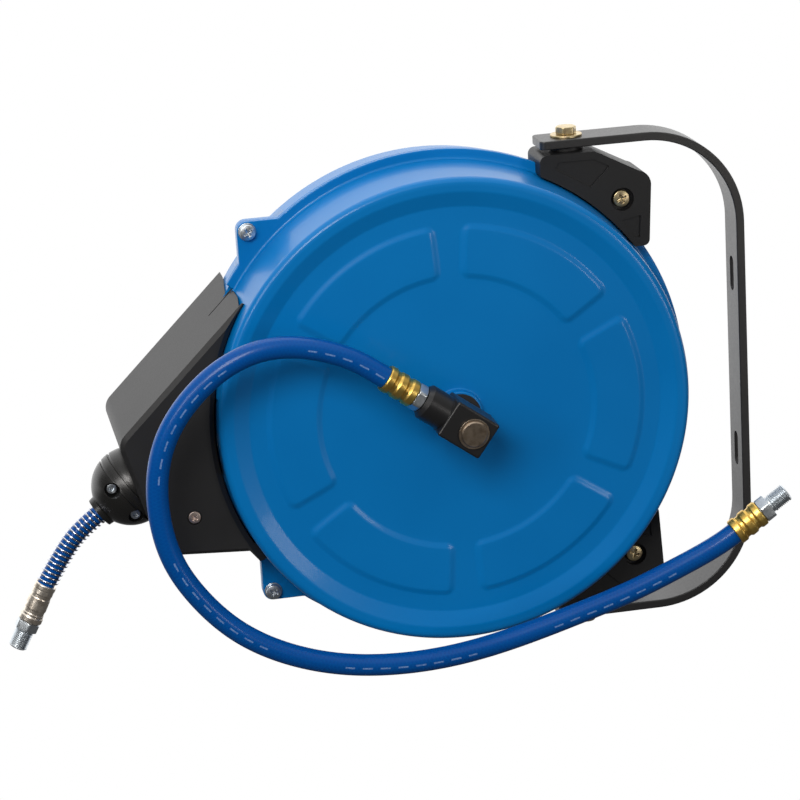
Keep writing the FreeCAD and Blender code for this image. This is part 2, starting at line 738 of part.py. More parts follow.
# direction square to the top face, degrees from +X towards +Z
TOP_DIR = math.degrees(math.atan2(dim.guide_ax - dim.guide_bx, dim.guide_bz - dim.guide_az))

GUIDE_SCREWS = [(-185.4, -57.4), (-208.0, -13.0)]
ROLLER_RAD, ROLLER_PIN_RAD, ROLLER_BORE = 6.5, 2.5, 2.55
roller_out = dim.hose_rad + ROLLER_RAD + 0.4  # roller axis from the hose line
ROLLERS = [on_line(163.0, dim.hose_tan + out) for out in (roller_out, -roller_out)]
GROOVE_RAD, GROOVE_FACE = 175.4, 165.5  # room for the casing flange


def near(edge, corner, reach):
    return all(math.hypot(v.X - corner[0], v.Z - corner[1]) < reach for v in edge.Vertexes)


def draft_cut(piece):
    """Cuts the top face to its draft, on a sketch square to that face's length."""
    turn = FreeCAD.Rotation(Vector(0, 1, 0), -TOP_DIR)
    angle = math.radians(TOP_DIR)
    face = dim.guide_ax * math.cos(angle) + dim.guide_az * math.sin(angle)
    shift = 60.0 * math.tan(math.radians(dim.guide_draft))
    sketch = piece.sketch("XY_Plane", outline(
        [(face - shift, -60.0), (230.0, -60.0), (230.0, 60.0), (face + shift, 60.0)]))
    sketch.AttachmentOffset = FreeCAD.Placement(turn.multVec(Vector(0, 0, 300)), turn)
    piece.sweep("Pocket", sketch, True, length=600.0)


def guide_shell(label, y0, y1, corner_len):
    """The drafted outline with its left corners rounded. corner_len tells the corner edges."""
    piece = Piece(label)
    piece.slab(y0, y1, outline(GUIDE_OUTLINE))
    draft_cut(piece)
    for rad, corner, reach in ((dim.guide_round, LEFT_CORNER, 5.0), (4.2, LOWER_CORNER, 1.0)):
        piece.soften(rad, lambda edge: edge.BoundBox.YLength > corner_len
                     and near(edge, corner, reach))
    return piece


def cut_ball_seat(piece):
    """Hose bore and ball seat, turned about the hose line."""
    ball, rad, bore = dim.ball_pos, dim.seat_rad, dim.guide_bore
    back = ball - root(rad * rad - bore * bore)
    profile = [(150.0, 0.0), (150.0, bore), (back, bore), (ball, rad), (260.0, rad), (260.0, 0.0)]
    piece.revolve(outline([on_line(along, dim.hose_tan + out) for along, out in profile],
                          {2: (rad, 1)}),
                  axis_line(on_line(140.0), on_line(300.0)),
                  plane="XZ_Plane", axis="Axis0", cut=True)


def guide_housing():
    front, rear = -dim.guide_seam, dim.guide_rear
    inside = rear - dim.guide_wall
    piece = guide_shell("guide_housing", front, rear, 50)
    piece.soften(1.6, lambda edge: abs(edge.BoundBox.YMin - rear) < 0.01
                 and edge.BoundBox.XMax < -140 and edge.BoundBox.XMin < -150)
    piece.carve(front - 1, inside, outline(GUIDE_CAVITY))
    # clear of the covers: front wall, flange, rear wall
    piece.carve(front - 1, -3.05, disc(0, 0, 168.4))
    low = GROOVE_RAD * math.cos(math.radians(225))
    piece.carve(-3.1, 3.1, outline(
        [(0.0, 0.0), across_face(GROOVE_FACE, 20.0),
         across_face(GROOVE_FACE, math.sqrt(GROOVE_RAD**2 - GROOVE_FACE**2)), (low, low)],
        {2: (GROOVE_RAD, 1)}))
    piece.carve(2.95, rear + 1, disc(0, 0, 171.1))
    # slit over the flange
    piece.carve(-0.75, 0.75, outline([across_face(163.5, 35.2), across_face(163.5, 57.2),
                                      across_face(175.0, 57.2), across_face(175.0, 35.2)]))
    cut_ball_seat(piece)
    # screw holes and blind roller pin holes
    piece.carve(front - 1, -14.0, *discs(GUIDE_SCREWS, 2.0))
    piece.carve(inside - 0.5, rear - 1.0, *discs(ROLLERS, ROLLER_BORE))


def guide_lid():
    front, rear = -dim.guide_front, -dim.guide_seam
    inside = front + dim.guide_wall
    piece = guide_shell("guide_lid", front, rear, 3)
    bevel = piece.soften(dim.guide_bevel, lambda edge: in_plane(edge, front)
                         and edge.BoundBox.XMin < -150, kind="Chamfer")
    if bevel is None:
        raise RuntimeError("no bevel on guide_lid")
    bind(bevel, "Size", dim.guide_bevel)
    # the inner arc slopes down to the cover
    piece.revolve(outline([(100.0, -41.0), (171.8, -41.0), (165.7, -36.55), (165.7, -36.0),
                           (100.0, -36.0)]), cut=True)
    piece.carve(inside, rear + 1, outline(GUIDE_CAVITY))
    # screw holes, their counterbores and blind roller pin holes
    piece.carve(front - 1, rear + 1, *discs(GUIDE_SCREWS, 2.2))
    piece.carve(front - 1, front + 2.0, *discs(GUIDE_SCREWS, 5.0))
    piece.carve(front + 1.0, inside + 0.5, *discs(ROLLERS, ROLLER_BORE))


def guide_hardware():
    front = -dim.guide_front
    piece = Piece("guide_screws")
    piece.slab(front + 0.2, front + 2.0, *discs(GUIDE_SCREWS, 4.4))
    piece.slab(front + 1.5, -14.5, *discs(GUIDE_SCREWS, 1.95))
    Piece("roller_pins").slab(front + 1.0, dim.guide_rear - 1.0,
                              *discs(ROLLERS, ROLLER_PIN_RAD))
    rad, bore = ROLLER_RAD, ROLLER_BORE
    for label, (x, z) in zip(("guide_roller_upper", "guide_roller_lower"), ROLLERS):
        Piece(label, (x, 0.0, z)).revolve(outline(
            [(bore, -36.5), (rad - 1, -36.5), (rad, -35.5), (rad, 45.5), (rad - 1, 46.5),
             (bore, 46.5)]))


# ---------------------------------------------------------------- ball stop
# drawn along the hose line, which is the pieces' own X axis
line_x, line_z = on_line(0.0)
LINE_AT = (line_x, 0.0, line_z)
LINE_TURN = 180.0 - dim.hose_ang
BALL_BOLTS = [(dim.ball_pos + 9.0, -12.5), (dim.ball_pos + 9.0, 12.5)]


def ball_half(label, front):
    piece = Piece(label, LINE_AT, LINE_TURN)
    ball, rad, bore = dim.ball_pos, dim.ball_rad, dim.hose_rad + 0.03
    piece.revolve(outline(
        [(ball + 28.8, bore), (ball + 28.8, 11.0), (ball + root(rad * rad - 11.5 * 11.5), 11.5),
         (ball - 24.0, root(rad * rad - 24.0 * 24.0)), (ball - 24.0, bore)],
        {2: (rad, 1)}), axis="H_Axis")
    # rib grooves round the ball
    for shift in (-2.5, 4.5):
        middle, surface = ball + shift, math.sqrt(rad**2 - shift**2)
        piece.revolve(outline(
            [(middle - 0.9, surface - 1.6), (middle + 0.9, surface - 1.6),
             (middle + 1.1, surface + 2), (middle - 1.1, surface + 2)]),
            axis="H_Axis", cut=True)
    # keep one half, then bolt holes with round or hexagonal recesses
    box = outline([(150.0, -40.0), (260.0, -40.0), (260.0, 40.0), (150.0, 40.0)])
    holes = discs(BALL_BOLTS, 2.1)
    if front:
        piece.carve(0.0, 40.0, box)
        piece.carve(-40.0, 0.5, *holes)
        piece.carve(-40.0, -13.5, *discs(BALL_BOLTS, 5.2))
    else:
        piece.carve(-40.0, 0.0, box)
        piece.carve(-0.5, 40.0, *holes)
        piece.carve(13.5, 40.0, *[hexagon(*spot, 7.2) for spot in BALL_BOLTS])


def ball_stop():
    ball_half("ball_stop_front", True)
    ball_half("ball_stop_rear", False)
    piece = Piece("ball_bolts", LINE_AT, LINE_TURN)
    piece.slab(-17.5, -13.5, *discs(BALL_BOLTS, 3.6))
    piece.slab(-14.0, 17.0, *discs(BALL_BOLTS, 2.0))
    piece.carve(-18.5, -15.5, *[hexagon(*spot, 3.2) for spot in BALL_BOLTS])
    nuts = []
    for spot in BALL_BOLTS:
        nuts += [hexagon(*spot, 7.0), disc(*spot, 2.05)]
    Piece("ball_nuts", LINE_AT, LINE_TURN).slab(13.5, 16.7, *nuts)


# ---------------------------------------------------------------- outlet hose end
TAIL = [(-266.0, -74.2), (-279.0, -91.3), (-288.4, -106.0)]  # (x, z) beyond the ball
TAIL_DIR = unit(-27.4, -49.4)
FERRULE_LEN, NIPPLE_HEX, NIPPLE_THREAD = 29.5, 7.0, 14.0
WIRE_RAD, COILS, COIL_POINTS = 0.8, 17, 14

exit_x, exit_z = on_line(dim.ball_pos + 29.0)
line_start, line_exit = Vector(*LINE_AT), Vector(exit_x, 0, exit_z)
line_dir = unit(exit_x - line_x, exit_z - line_z)
tail_points = [line_exit] + [Vector(x, 0, z) for x, z in TAIL]
tail_curve = spline(tail_points, line_dir, TAIL_DIR)
tail_end = tail_points[-1]
TAIL_AT = (tail_end.x, 0.0, tail_end.z)


def outlet_hose():
    hose_end = tail_end + TAIL_DIR * (FERRULE_LEN - 4)
    edges = [Part.LineSegment(line_start, line_exit).toShape(), tail_curve.toShape(),
             Part.LineSegment(tail_end, hose_end).toShape()]
    plain_piece("outlet_hose", tube(edges, line_start, line_dir, dim.hose_rad, dim.hose_bore))


def bend_guard_spring():
    """Round wire wound round the hose from the ball to the ferrule."""
    count = COILS * COIL_POINTS
    coil_rad = float(dim.hose_rad + WIRE_RAD + 0.12)
    length = tail_curve.length()
    side = Vector(0, 1, 0)
    points = []
    for i in range(count + 1):
        part = i / count
        place = tail_curve.parameterAtDistance(length * (0.012 + 0.976 * part),
                                               tail_curve.FirstParameter)
        across = Vector(*tail_curve.tangent(place)[0]).cross(side)
        angle = 2 * math.pi * COILS * part
        points.append(tail_curve.value(place)
                      + (side * math.cos(angle) + across * math.sin(angle)) * coil_rad)
    helix = Part.BSplineCurve()
    helix.interpolate(Points=points)
    start_dir = Vector(*helix.tangent(helix.FirstParameter)[0])
    section = Part.Wire([Part.Circle(points[0], start_dir, WIRE_RAD).toShape()])
    plain_piece("bend_guard_spring",
                Part.Wire([helix.toShape()]).makePipeShell([section], True, True))


def outlet_fittings():
    end, bore = FERRULE_LEN, dim.hose_rad + 0.03
    turned("guard_ferrule",
           [(0.3, bore), (end - 3.0, bore), (end - 3.0, 5.2), (end, 5.2), (end, 7.6),
            (end - 1.0, 8.5), (end - 3.5, 8.5), (end - 4.5, 8.0), (4.2, 7.35), (3.4, 7.7),
            (1.2, 7.7), (0.3, 7.2)], TAIL_AT, heading(TAIL_DIR))
    thread = end + NIPPLE_HEX
    tip = thread + NIPPLE_THREAD
    nipple = turned("outlet_nipple",
                    [(end - 20.0, 2.5), (end - 20.0, 3.6), (end - 4.0, 3.9), (end - 4.0, 5.1),
                     (thread, 5.1), (thread, 5.9), (thread + 1.2, dim.thread_rad),
                     (tip - 1.2, dim.thread_rad), (tip, 5.6), (tip, 2.5)],
                    TAIL_AT, heading(TAIL_DIR))
    nipple.extrude("YZ_Plane", end + 0.2, NIPPLE_HEX - 0.2, hexagon(0, 0, 15.0), disc(0, 0, 4.0))


# ---------------------------------------------------------------- drum
# first screw (x, z) of each circle
SHAFT_SCREWS = (17.0, 0.0)
FLANGE_SCREWS = (50.0, 0.0)
REAR_SCREWS = (56.8, 0.0)
RATCHET_SCREWS = (66.0, 36.0)
HUB_FRONT, HUB_REAR = -dim.drum_front, dim.drum_rear
FLANGE_FRONT = HUB_FRONT - dim.drum_thk


def drum_hub():
    piece = Piece("drum_hub")
    rad, bore, inner = dim.hub_rad, dim.shaft_rad + 0.05, dim.hub_rad - dim.hub_wall
    lip = rad - 6.5
    piece.revolve(outline(
        [(bore, HUB_FRONT), (rad, HUB_FRONT), (rad, HUB_REAR), (lip, HUB_REAR),
         (lip, HUB_REAR - 2.0), (inner, HUB_REAR - 2.2), (inner, HUB_FRONT + 4),
         (bore, HUB_FRONT + 4)]))
    for count, place, hole in ((4, SHAFT_SCREWS, 2.6), (6, FLANGE_SCREWS, 2.1)):
        piece.repeat(count, piece.carve(HUB_FRONT - 1, HUB_FRONT + 5, disc(*place, hole)))
    # port for the hose start
    piece.extrude("XY_Plane", rad + 1, 8.0, disc(0, -26.0, 7.1), cut=True)
    piece.repeat(6, piece.carve(HUB_REAR - 0.9, HUB_REAR + 1, disc(*REAR_SCREWS, 1.3)))


def drum_flange(label, y0, bore, holes):
    """holes lists (count, first place, radius)."""
    piece = Piece(label)
    y1 = y0 + dim.drum_thk
    piece.slab(y0, y1, disc(0, 0, dim.drum_rad), disc(0, 0, bore))
    window = outline([(96.0, -24.0), (138.0, -34.0), (138.0, 34.0), (96.0, 24.0)],
                     {1: (142.0, 1), 3: (99.0, -1)})
    piece.repeat(5, piece.carve(y0 - 1, y1 + 1, window))
    for count, place, rad in holes:
        piece.repeat(count, piece.carve(y0 - 1, y1 + 1, disc(*place, rad)))


def drum_flanges():
    drum_flange("drum_flange_front", FLANGE_FRONT, 40.0,
                [(6, FLANGE_SCREWS, 2.1), (3, RATCHET_SCREWS, 1.6)])
    drum_flange("drum_flange_rear", HUB_REAR, 46.0, [(6, REAR_SCREWS, 1.3)])
    screw_ring("flange_screws", FLANGE_SCREWS, 6, seat=FLANGE_FRONT, head=(4.0, 2.2),
               shank=2.0, end=HUB_FRONT + 6.5)
    screw_ring("flange_screws_rear", REAR_SCREWS, 6, seat=HUB_REAR + dim.drum_thk,
               head=(2.2, 1.2), shank=1.25, end=HUB_REAR - 0.8)
    screw_ring("shaft_screws", SHAFT_SCREWS, 4, seat=HUB_FRONT, head=(4.6, 2.8),
               shank=2.5, end=HUB_FRONT + 8.6)


def main_shaft():
    piece = Piece("main_shaft")
    rad = dim.shaft_rad
    piece.revolve(outline(
        [(0.0, -105.0), (rad - 0.8, -105.0), (rad, -104.2),
         # circlip groove
         (rad, -103.55), (rad - 0.9, -103.55), (rad - 0.9, -102.05), (rad, -102.05),
         # two O-ring grooves
         (rad, -96.2), (rad - 1.9, -96.2), (rad - 1.9, -94.0), (rad, -94.0),
         (rad, -83.0), (rad - 1.9, -83.0), (rad - 1.9, -80.8), (rad, -80.8),
         # collar and hub flange
         (rad, -74.9), (12.0, -74.9), (12.0, -71.5), (rad, -70.5),
         (rad, HUB_FRONT + 4), (24.0, HUB_FRONT + 4), (24.0, HUB_FRONT + 8), (rad, HUB_FRONT + 8),
         (rad, -18.0), (0.0, -18.0)]))
    piece.carve(-92.0, -17.0, disc(0, 0, dim.shaft_bore))
    # cross hole at the inlet axis
    piece.extrude("YZ_Plane", 20.0, 40.0, disc(-dim.swivel_pipe, 0, 2.6), cut=True)
    piece.repeat(4, piece.carve(HUB_FRONT + 3, HUB_FRONT + 9, disc(*SHAFT_SCREWS, 2.55)))


def shaft_fittings():
    Piece("swivel_o_rings").revolve(disc(8.05, -95.1, 0.9), disc(8.05, -81.9, 0.9))
    bore, outer = dim.shaft_rad + dim.run_gap, dim.bush_outer_rad
    Piece("front_bush").revolve(outline(
        [(bore, -57.5), (15.0, -57.5), (15.0, -56.0), (outer, -56.0), (outer, -44.0),
         (bore, -44.0)]))
    # plug over the shaft's rear end
    Piece("hub_elbow").revolve(outline(
        [(9.06, -30.0), (12.5, -30.0), (12.5, -10.5), (11.0, -9.0), (0.0, -9.0), (0.0, -17.9),
         (9.06, -17.9)]))


def spring_arbor():
    piece = Piece("spring_arbor")
    rad, face = dim.arbor_rad, dim.rear_dish_dep
    piece.revolve(outline(
        [(0.0, -3.5), (rad - 1, -3.5), (rad, -2.5), (rad, face), (28.0, face), (28.0, face + 3),
         (27.0, face + 4), (0.0, face + 4)]))
    piece.repeat(4, piece.carve(face - 1, face + 5, disc(*ARBOR_SCREWS, 2.7)))
    screw_ring("arbor_bolts", ARBOR_SCREWS, 4, seat=face + 4.0, head=(4.2, 2.9),
               shank=2.5, end=face - 6.8)
    nuts = Piece("arbor_nuts")
    nuts.repeat(4, nuts.slab(face - 6.6, face - 2.6, hexagon(*ARBOR_SCREWS, 8.0),
                             disc(*ARBOR_SCREWS, 2.55)))


def spring_housing():
    Piece("spring_cassette").revolve(outline(
        [(54.5, -5.0), (56.5, -5.0), (56.5, 34.0), (16.0, 34.0), (16.0, 32.0), (54.5, 32.0)]))
    Piece("cassette_cover").revolve(outline(
        [(14.0, -7.0), (56.5, -7.0), (56.5, -5.05), (14.0, -5.05)]))
    bore = dim.arbor_rad + dim.run_gap
    Piece("rear_bush").revolve(outline(
        [(bore, 28.5), (18.5, 28.5), (18.5, 31.95), (15.95, 31.95), (15.95, 36.0),
         (bore, 36.0)]))


# flat strip wound in half-circle arcs, most of its turns against the cassette wall
STRIP_THK, STRIP_WID, STRIP_FRONT = 0.55, 31.0, -3.6
STRIP_OUTER_RAD = 54.2
# how much the radius drops after each half turn
STRIP_STEPS = [0.36] * 16 + [0.36 + 0.309 * j for j in range(1, 13)]


def strip_edge(shift):
    """One long edge of the strip's section, from the outer end inwards."""
    centre, rad, side = 0.0, STRIP_OUTER_RAD - STRIP_THK / 2, 1
    edges = []
    for step in STRIP_STEPS:
        reach = side * (rad + shift)
        edges.append(Part.Arc(Vector(centre + reach, STRIP_FRONT, 0),
                              Vector(centre, STRIP_FRONT, reach),
                              Vector(centre - reach, STRIP_FRONT, 0)).toShape())
        centre -= side * step
        rad -= step
        side = -side
    return edges


def power_spring():
    outer, inner = strip_edge(STRIP_THK / 2), strip_edge(-STRIP_THK / 2)
    (outer_start, outer_end), (inner_start, inner_end) = [
        (edges[0].firstVertex(True).Point, edges[-1].lastVertex(True).Point)
        for edges in (outer, inner)]
    closing = [Part.LineSegment(outer_end, inner_end).toShape()]
    opening = [Part.LineSegment(inner_start, outer_start).toShape()]
    section = Part.Wire(Part.__sortEdges__(outer + closing + inner + opening))
    plain_piece("power_spring", Part.Face(section).extrude(Vector(0, STRIP_WID, 0)))


# ---------------------------------------------------------------- ratchet and pawl
RATCHET_THK = 2.6
RATCHET_FRONT = FLANGE_FRONT - RATCHET_THK
# tooth corners: radius, degrees past the tooth's start
TOOTH = [(79.0, 0.0), (86.0, 0.0), (79.4, 9.0), (78.6, 9.0), (78.2, 3.0)]
PAWL_REAR = FLANGE_FRONT - 0.2
PAWL_WIRE = 0.3
pawl_reach = math.hypot(PAWL_X, PAWL_Z)
INWARD_X, INWARD_Z = -PAWL_X / pawl_reach, -PAWL_Z / pawl_reach  # from the pin to the drum axis
# the pawl's own frame: (inward, across)
PAWL_OUTLINE = [(-3, -6), (2, -6), (27.5, -1.6), (27.5, 1.6), (2, 6), (-3, 6), (-6, 3), (-6, -3)]


def polar_point(rad, angle):
    return (rad * math.cos(angle), rad * math.sin(angle))


def ratchet_ring():
    """Ring on the drum's front flange with seven saw teeth on one arc."""
    piece = Piece("ratchet_ring")
    span = (RATCHET_FRONT, FLANGE_FRONT)
    piece.slab(*span, disc(0, 0, 80.0), disc(0, 0, 69.0))
    for k in range(7):
        piece.slab(*span, outline([polar_point(rad, math.radians(60.0 + 12.0 * k + past))
                                   for rad, past in TOOTH]))
    x, z = RATCHET_SCREWS
    for k in range(3):
        angle = math.atan2(z, x) + math.radians(120 * k)
        piece.slab(*span, disc(*polar_point(math.hypot(x, z), angle), 4.6))
    piece.repeat(3, piece.carve(RATCHET_FRONT - 1, FLANGE_FRONT + 1, disc(x, z, 1.6)))
    screw_ring("ratchet_screws", RATCHET_SCREWS, 3, seat=RATCHET_FRONT, head=(2.8, 1.2),
               shank=1.5, end=HUB_FRONT - 0.1)


def pawl():
    Piece("pawl_pin").slab(-dim.dish_dep + 0.9, PAWL_REAR, disc(PAWL_X, PAWL_Z, 1.95))
    Piece("pawl", (PAWL_X, 0.0, PAWL_Z)).slab(
        RATCHET_FRONT, PAWL_REAR,
        outline([(u * INWARD_X - w * INWARD_Z, u * INWARD_Z + w * INWARD_X)
                 for u, w in PAWL_OUTLINE]),
        disc(0, 0, 2.03))


def pawl_spring():
    """One turn of fine wire round the pin and a straight leg, between boss and pawl."""
    rad, y = 2.9, float(PAWL_BOSS_Y + PAWL_WIRE + 0.05)
    ring = Part.makeTorus(rad, PAWL_WIRE, Vector(PAWL_X, y, PAWL_Z), Vector(0, 1, 0))
    leg_start = Vector(PAWL_X - rad * INWARD_Z, y, PAWL_Z + rad * INWARD_X)
    leg = Part.makeCylinder(PAWL_WIRE * 0.9, 14.0, leg_start, Vector(-INWARD_X, 0, -INWARD_Z))
    plain_piece("pawl_spring", ring.fuse(leg))


# ---------------------------------------------------------------- wound hose
def wound_hose():
    """Three layers of six turns on the hub, as closed rings."""
    hose, bore = float(dim.hose_rad), float(dim.hose_bore)
    first = dim.hub_rad + hose + 0.15
    # the outermost layer stays clear of the outgoing hose line
    layers = [first, first + 11.6, dim.hose_tan - 2 * hose - 0.35]
    turns = []
    for rad in layers:
        for k in range(6):
            middle = Vector(0, -1.0 + 12.2 * (k - 2.5), 0)
            outer, inner = [Part.makeTorus(float(rad), section, middle, Vector(0, 1, 0))
                            for section in (hose, bore)]
            turns.append(outer.cut(inner))
    plain_piece("wound_hose", Part.makeCompound(turns))


# ---------------------------------------------------------------- swivel and inlet
SWIVEL_TURN = -dim.swivel_ang
INLET_AT = (0.0, -dim.swivel_pipe, 0.0)
INLET_FERRULE = 46.6  # start of the ferrule along the inlet axis
# crimped ferrule: x, radius
FERRULE = [
    (0.0, 7.53), (0.0, 8.9), (1.0, 9.5), (4.6, 9.5), (5.8, 8.75), (8.4, 8.75), (9.6, 9.5),
    (13.4, 9.5), (14.6, 8.75), (17.0, 8.75), (18.2, 9.5), (22.0, 9.5), (23.0, 8.9), (23.0, 7.53)]


def swivel_body():
    piece = Piece("swivel_body", turn=SWIVEL_TURN)
    half, pipe = dim.swivel_half, -dim.swivel_pipe
    y0 = -dim.swivel_front
    y1 = y0 + dim.swivel_dep
    piece.slab(y0, y1, outline([(-13.0, -half), (21.0, -half), (21.0, half), (-13.0, half)]))
    piece.soften(1.6, lambda edge: True)
    # inlet pipe
    piece.extrude("YZ_Plane", 20.5, 19.0, disc(pipe, 0, 12.4))
    piece.soften(2.6, lambda edge: abs(edge.BoundBox.XMin - 39.5) < 0.01
                 and abs(edge.BoundBox.XMax - 39.5) < 0.01, kind="Chamfer")
    # shaft bore with a wider ring groove at the inlet
    piece.carve(y0 - 1, y1 + 1, disc(0, 0, dim.shaft_rad + dim.run_gap))
    piece.carve(-91.0, -86.0, disc(0, 0, 10.6))
    # socket for the nipple and the passage behind it
    piece.extrude("YZ_Plane", 41.0, 17.0, disc(pipe, 0, 6.62), cut=True)
    piece.extrude("YZ_Plane", 30.0, 24.0, disc(pipe, 0, 4.0), cut=True)
    Piece("swivel_circlip").slab(-103.45, -102.15, disc(0, 0, 10.5), disc(0, 0, 8.15))


def add_spanner_hex(piece, start, length):
    piece.extrude("YZ_Plane", start, length, hexagon(0, 0, 17.0, 30.0), disc(0, 0, 4.5))


def inlet_fittings():
    thread = dim.thread_rad
    nipple = turned("inlet_nipple",
                    [(25.0, 3.2), (25.0, 6.0), (25.8, thread), (38.0, thread), (38.0, 6.0),
                     (46.5, 6.0), (46.5, 4.6), (49.0, 4.9), (49.8, 4.6), (52.0, 4.9),
                     (52.8, 4.6), (55.0, 4.9), (55.8, 4.6), (58.0, 4.9), (66.0, 4.9),
                     (67.5, 4.3), (67.5, 3.2)], INLET_AT, SWIVEL_TURN)
    add_spanner_hex(nipple, 39.7, 6.6)
    turned("inlet_ferrule", [(INLET_FERRULE + x, rad) for x, rad in FERRULE],
           INLET_AT, SWIVEL_TURN)


# ---------------------------------------------------------------- supply hose
# centre line (x, z) from the inlet ferrule to the free end
SUPPLY_LOOP = [
    (-73.6, 54.6), (-92.0, 63.2), (-112.0, 68.6), (-138.4, 68.8), (-165.9, 57.9),
    (-187.2, 40.2), (-204.6, 15.4), (-212.6, -11.6), (-213.2, -40.6), (-206.4, -71.5),
    (-190.6, -100.2), (-166.2, -127.3), (-134.2, -147.6), (-98.3, -160.2), (-57.7, -165.8),
    (-15.3, -164.6), (27.6, -157.2), (70.9, -146.0), (112.3, -133.6), (150.7, -118.6),
    (186.4, -100.6)]
SUPPLY_SHIFT = 9.0  # the loop drifts this far back on its way
SUPPLY_DIR = unit(25.0, 17.0)


def supply_hose():
    swivel = math.radians(dim.swivel_ang)
    inlet_dir = Vector(math.cos(swivel), 0, math.sin(swivel))
    start, loop_start = [Vector(*INLET_AT) + inlet_dir * along for along in (46.8, 70.2)]
    points = [loop_start]
    for i, (x, z) in enumerate(SUPPLY_LOOP, 1):
        part = i / len(SUPPLY_LOOP)
        points.append(Vector(x, SUPPLY_SHIFT * (3 * part**2 - 2 * part**3) - dim.swivel_pipe, z))
    end = points[-1]
    edges = [Part.LineSegment(start, loop_start).toShape(),
             spline(points, inlet_dir, SUPPLY_DIR).toShape(),
             Part.LineSegment(end, end + SUPPLY_DIR * 23.0).toShape()]
    plain_piece("supply_hose",
                tube(edges, start, inlet_dir, dim.supply_rad, dim.supply_bore))


def supply_fittings():
    """Ferrule and threaded fitting on the free end."""
    x, z = SUPPLY_LOOP[-1]
    at, turn = (x, SUPPLY_SHIFT - dim.swivel_pipe, z), heading(SUPPLY_DIR)
    turned("supply_ferrule", FERRULE, at, turn)
    fitting = turned("supply_fitting",
                     [(3.0, 3.2), (3.0, 4.3), (4.5, 4.9), (20.0, 4.9), (23.1, 4.9), (23.1, 6.0),
                      (32.0, 6.0), (33.0, dim.thread_rad), (44.8, dim.thread_rad), (46.0, 5.7),
                      (46.0, 3.2)], at, turn)
    add_spanner_hex(fitting, 23.3, 7.5)


# ---------------------------------------------------------------- build, check and export
for build in (
        wall_bracket, pivot_hardware, front_cover, rear_cover, pivot_blocks, casing_fasteners,
        guide_housing, guide_lid, guide_hardware, ball_stop, outlet_hose, bend_guard_spring,
        outlet_fittings, drum_hub, drum_flanges, main_shaft, shaft_fittings, spring_arbor,
        spring_housing, power_spring, ratchet_ring, pawl, pawl_spring, wound_hose, swivel_body,
        inlet_fittings, supply_hose, supply_fittings):
    build()

doc.recompute()
failed = [(o.Name, o.Label, list(o.State)) for o in doc.Objects
          if "Invalid" in o.State or "Error" in o.State]
for piece in pieces:
    shape = piece.Shape
    if shape.isNull() or not shape.isValid() or shape.Volume < 0.01:
        failed.append((piece.Name, piece.Label, "shape"))
if failed:
    raise RuntimeError("failed objects: %s" % failed)
for piece in pieces:
    piece.Shape.exportStep("parts/%s.step" % piece.Label)
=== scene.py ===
"""Spring-retractable hose reel on a wall strap.

Millimetres in the row frame: origin at the strap's wall face, +X into the wall, -Y to the front,
+Z up. The drum turns about a line along Y at x = DRUM_X. Materials, stage, lights and Blender's own
data are in metres.
"""
import math

import bpy
import numpy as np
from mathutils import Matrix, Vector


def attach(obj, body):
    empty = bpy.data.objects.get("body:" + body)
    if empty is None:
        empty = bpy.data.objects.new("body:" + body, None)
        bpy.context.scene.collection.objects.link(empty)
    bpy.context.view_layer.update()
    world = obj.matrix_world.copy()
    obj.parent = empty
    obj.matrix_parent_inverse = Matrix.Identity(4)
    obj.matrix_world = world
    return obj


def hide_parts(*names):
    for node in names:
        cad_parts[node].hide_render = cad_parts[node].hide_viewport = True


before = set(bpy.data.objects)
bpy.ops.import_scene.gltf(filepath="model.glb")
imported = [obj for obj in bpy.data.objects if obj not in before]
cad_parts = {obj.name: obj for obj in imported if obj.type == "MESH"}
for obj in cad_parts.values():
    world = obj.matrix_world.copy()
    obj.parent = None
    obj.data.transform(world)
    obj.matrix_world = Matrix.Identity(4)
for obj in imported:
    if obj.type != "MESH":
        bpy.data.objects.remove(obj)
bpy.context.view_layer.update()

SCENE = bpy.context.scene
MM = 0.001
TAU = 2 * math.pi

X_AXIS = (1, 0, 0)
FRONT = (0, -1, 0)
BACK = (0, 1, 0)
SIGNS = (1, -1)

DRUM_X = -219.0

# Places measured from the drum axis
LUG_OFFSET = 130.4  # flange lug holes, in x and in z
LUG_EDGE = 137.4  # straight outer edges of the lugs
LUG_CORNER_R = 7.0
PIVOT_OFFSET = 96.5  # hinge bolts, towards the wall
ARBOR_BOLT_R = 21.0
FLANGE_R = 175.0

# Supply hose and inlet, on a line that leaves the drum axis in front of the casing
INLET_Y = -88.5
INLET_ANGLE = math.radians(143.1)
SUPPLY_R, SUPPLY_BORE_R = 7.5, 5.0
CRIMP_LENGTH = 23.0

# Outlet hose: straight off the drum, past the ball stop, then bent down into its ferrule
OUTLET_R, OUTLET_BORE_R = 6.0, 4.0
OUTLET_ANGLE = math.radians(36)
OUTLET_OFFSET = 97.7  # from the drum axis to the hose line
STOP_START = 205.9  # ball stop, along the hose line
STOP_BOLT_ALONG = STOP_START + 9.0
STOP_BOLT_SIDE = 12.5
BEND_START = STOP_START + 29.0

FERRULE_LENGTH = 29.5
OUTLET_HEX = 7.0
OUTLET_THREAD = 14.0

# G 1/4 thread
THREAD_R = 6.58
THREAD_PITCH = 1.337
THREAD_DEPTH = 0.8


# ------------------------------------------------------------------ materials
MATERIALS = {}


def srgb(red, green, blue):
    """Linear colour from 0-255 sRGB values."""
    def linear(value):
        value /= 255
        return value / 12.92 if value <= 0.04045 else ((value + 0.055) / 1.055) ** 2.4
    return linear(red), linear(green), linear(blue)


